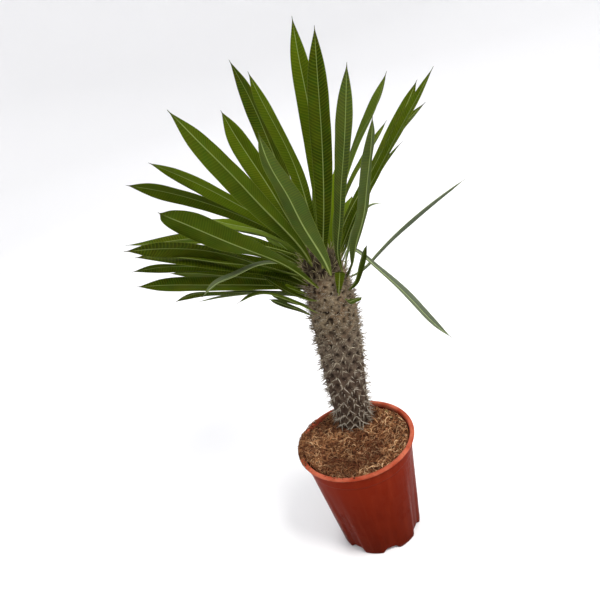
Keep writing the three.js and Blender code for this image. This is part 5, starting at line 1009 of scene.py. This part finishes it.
def build_fibres(name, n, seed, length, radius, lift, mat, curl, k=9, sides=3, rmax=75.5):
    r4 = np.random.default_rng(seed)
    q = scatter_disc(n, r4, rmax)
    L = r4.uniform(*length, n)
    head = r4.uniform(0, 2 * np.pi, n)
    turn = r4.normal(0, curl, (n, k)) + r4.normal(0, curl * 0.9, n)[:, None]
    ang = head[:, None] + np.cumsum(turn, 1)
    step = (L / (k - 1))[:, None]
    dx = np.cos(ang) * step
    dy = np.sin(ang) * step
    x = q[:, :1] + np.cumsum(dx, 1) - dx.mean(1, keepdims=True) * k / 2
    y = q[:, 1:] + np.cumsum(dy, 1) - dy.mean(1, keepdims=True) * k / 2
    rr = np.hypot(x, y)
    s = np.minimum(1, rmax / np.maximum(rr, 1e-6))
    x, y = x * s, y * s
    c = stem_axis(np.array(SOIL_TOP))
    # keep off the stem
    ox, oy = x - c[0], y - c[1]
    ro = np.hypot(ox, oy)
    push = np.maximum(1, (stem_r(SOIL_TOP) - 1.5) / np.maximum(ro, 1e-6))
    x, y = c[0] + ox * push, c[1] + oy * push
    z = soil_height(x, y)
    tt = np.linspace(0, 1, k)
    arch = np.sin(np.pi * np.clip(tt * 1.0, 0, 1))
    z = z + 0.15 + lift * r4.exponential(1.0, n)[:, None] * (arch[None] ** 1.0) * 0.9 + r4.normal(0, 0.25, (n, k)) - 0.35
    up_end = r4.uniform(0, 1, n) < 0.10
    z = z + np.where(up_end[:, None], (tt**1.6)[None] * r4.uniform(1.5, 4.5, n)[:, None], 0)
    z = np.minimum(z, 173.2)
    paths = np.stack([x, y, z], -1)
    rad = r4.uniform(*radius, n)[:, None] * (1 - 0.65 * tt**2)[None]
    v, f, share = tubes(paths, rad, sides)
    tint = np.repeat(r4.uniform(0, 1, n), k * sides)
    o = make_mesh(name, v, f, attrs={"tint": tint, "damp_and_shade": soil_shade(v[:, 0], v[:, 1])}, mats=[mat])
    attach(o, "root")
    return o


def spill_floor(x, y):
    """Height of what lies under loose coir near the wall: the mix itself, or the rolled rim."""
    rr = np.hypot(x, y)
    rim = 170.5 - 2.4 * np.clip(np.abs(rr - 81.5) / 3.5, 0, 2) ** 2
    return np.where(rr > 77.6, rim, np.maximum(soil_height(x, y), np.where(rr > 75.0, 169.6, 0)))


def build_spill(n=460, k=7):
    """Coir that hangs over the rim at the left, where the mix is banked up."""
    r4 = np.random.default_rng(61)
    az = np.radians(r4.normal(166, 13, n))
    r0 = 70 + 12.5 * r4.uniform(0, 1, n) ** 0.8
    head = az + r4.normal(0, 1.3, n)
    L = r4.uniform(6, 16, n)
    ang = head[:, None] + np.cumsum(r4.normal(0, 0.34, (n, k)), 1)
    step = (L / (k - 1))[:, None]
    x = (r0 * np.cos(az))[:, None] + np.cumsum(np.cos(ang) * step, 1) - step * 2
    y = (r0 * np.sin(az))[:, None] + np.cumsum(np.sin(ang) * step, 1)
    rr = np.hypot(x, y)
    s = np.minimum(1, 85.2 / np.maximum(rr, 1e-6))
    x, y = x * s, y * s
    tt = np.linspace(0, 1, k)
    z = spill_floor(x, y) + 0.35 + r4.uniform(0, 1.3, n)[:, None] + 1.2 * r4.exponential(1.0, n)[:, None] * np.sin(np.pi * tt)[None]
    z = np.minimum(z, 174.5)
    rad = r4.uniform(0.28, 0.62, n)[:, None] * (1 - 0.6 * tt**2)[None]
    v, f, share = tubes(np.stack([x, y, z], -1), rad, 3)
    o = make_mesh("coir_spill", v, f, attrs={"tint": np.repeat(r4.uniform(0, 0.85, n), k * 3), "damp_and_shade": np.repeat(np.where(r4.uniform(0, 1, n) < 0.4, 0.9, 0.05), k * 3)}, mats=[TAN])
    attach(o, "root")


TAN = fibre_material("coir_tan", [(0.0, srgb(80, 46, 28)), (0.35, srgb(124, 78, 48)), (0.70, srgb(178, 127, 84)), (1.0, srgb(222, 184, 140))])
BROWN = fibre_material("coir_brown", [(0.0, srgb(46, 24, 15)), (0.5, srgb(98, 56, 34)), (1.0, srgb(142, 92, 60))])
build_fibres("coir_fibres_fine", 2700, 31, (8, 24), (0.25, 0.43), 2.0, TAN, 0.32, k=8)
build_fibres("coir_fibres_dark", 1900, 32, (6, 17), (0.28, 0.56), 1.1, BROWN, 0.36, k=8)
build_fibres("coir_fibres_thick", 680, 33, (8, 24), (0.50, 1.0), 2.0, TAN, 0.18, k=7, sides=5)
build_spill()


def crumb_material():
    N = Nodes("soil_crumb")
    tone = N.attr("tint").outputs["Fac"]
    obj = N.obj()
    col = N.ramp(tone, [(0.0, srgb(48, 29, 18)), (0.35, srgb(74, 46, 30)), (0.62, srgb(116, 75, 49)), (0.85, srgb(160, 112, 78)), (0.985, srgb(186, 148, 112)), (1.0, srgb(96, 100, 48))])
    damp_and_shade = N.attr("damp_and_shade").outputs["Fac"]
    # darker with the soil_shade value: painted shade round the stem's foot, darker patches and front
    col = N.mix(N.math("MULTIPLY", damp_and_shade, 0.5), col, srgb(70, 35, 22))
    col = N.mix(N.range(N.noise(obj, 700, 3), 0.4, 0.7, 0.0, 0.5), col, srgb(38, 24, 15))
    N.link(col, N.bsdf.inputs["Base Color"])
    N.bsdf.inputs["Roughness"].default_value = 0.95
    N.bsdf.inputs["Specular IOR Level"].default_value = 0.05
    return N.m


def build_crumbs(n=1200):
    r5 = np.random.default_rng(51)
    bm = bmesh.new()
    bmesh.ops.create_icosphere(bm, subdivisions=2, radius=1.0)
    bm.verts.ensure_lookup_table()
    base = np.array([v.co[:] for v in bm.verts])
    tri = np.array([[v.index for v in f.verts] for f in bm.faces])
    bm.free()
    q = scatter_disc(n, r5, 75.0)
    size = 0.7 + r5.uniform(0, 1.0, n) ** 2.6 * 2.6
    # a few crumbs lie on the rim, most of them at the left
    m = 70
    az = np.radians(np.concatenate([r5.normal(168, 14, m - 20), r5.uniform(195, 262, 20)]))
    rq = r5.uniform(77.5, 83.5, m)
    q[:m] = np.stack([rq * np.cos(az), rq * np.sin(az)], 1)
    size[:m] = r5.uniform(0.6, 1.5, m)
    V, F, T, D = [], [], [], []
    for i in range(n):
        sc = size[i] * r5.uniform(0.6, 1.35, 3)
        g = r5.uniform(0, 6.28)
        R = np.array([[math.cos(g), -math.sin(g), 0], [math.sin(g), math.cos(g), 0], [0, 0, 1]])
        b = base * (1 + 0.24 * noise3(base + i * 3.7, 7, 2, 0.9))[:, None]
        b = (b * sc) @ R.T
        x, y = q[i]
        z0 = (spill_floor if i < m else soil_height)(np.array([x]), np.array([y]))[0]
        V.append(b * (1, 1, 1) + [x, y, z0 + 0.15 * size[i]])
        D.append(np.full(len(base), soil_shade(np.array([x]), np.array([y]))[0]))
        F.append(tri + i * len(base))
        T.append(np.full(len(base), r5.uniform(0, 1)))
    o = make_mesh("soil_crumbs", np.vstack(V), np.vstack(F), attrs={"tint": np.concatenate(T), "damp_and_shade": np.concatenate(D)}, mats=[crumb_material()])
    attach(o, "root")


build_crumbs()

# ------------------------------------------------------------------ stage and light
def stage_material():
    N = Nodes("stage_pale")
    N.bsdf.inputs["Base Color"].default_value = (0.86, 0.86, 0.87, 1)
    N.bsdf.inputs["Roughness"].default_value = 0.9
    N.bsdf.inputs["Specular IOR Level"].default_value = 0.1
    return N.m


prof = [(0.0, 0.0), (1.6, 0.0), (2.4, 0.0), (2.9, 0.06), (3.35, 0.28), (3.65, 0.7), (3.8, 1.3), (3.85, 2.2), (3.85, 4.2)]
K = 96
a = np.arange(K) * 2 * np.pi / K
rings = [np.stack([max(x, 1e-4) * np.cos(a), max(x, 1e-4) * np.sin(a), 0 * a + zz], 1) for x, zz in prof]
floor = make_mesh("studio_floor", np.vstack(rings) * 1000, grid_faces(len(prof), K), mats=[stage_material()])

world = bpy.data.worlds.new("studio")
scene.world = world
world.use_nodes = True
bg = world.node_tree.nodes["Background"]
bg.inputs[0].default_value = (0.97, 0.98, 1.0, 1)
bg.inputs[1].default_value = 0.68


def area(name, loc, target, size, power, color=(1, 1, 1)):
    l = bpy.data.lights.new(name, "AREA")
    l.shape = "DISK"
    l.size = size
    l.energy = power
    l.color = color
    o = bpy.data.objects.new(name, l)
    scene.collection.objects.link(o)
    o.location = loc
    o.rotation_mode = "QUATERNION"
    o.rotation_quaternion = (Vector(target) - Vector(loc)).to_track_quat("-Z", "Y")
    return o


area("key", (1.1, -0.9, 2.3), (0, 0.05, 0.3), 1.1, 64, (1.0, 0.98, 0.95))
area("fill", (-1.8, -1.4, 1.4), (0, 0, 0.35), 1.8, 12)
area("back", (0.2, 2.0, 2.2), (0, 0, 0.4), 1.8, 36)

scene.view_settings.view_transform = "Standard"
scene.view_settings.look = "None"
scene.view_settings.exposure = 0.0
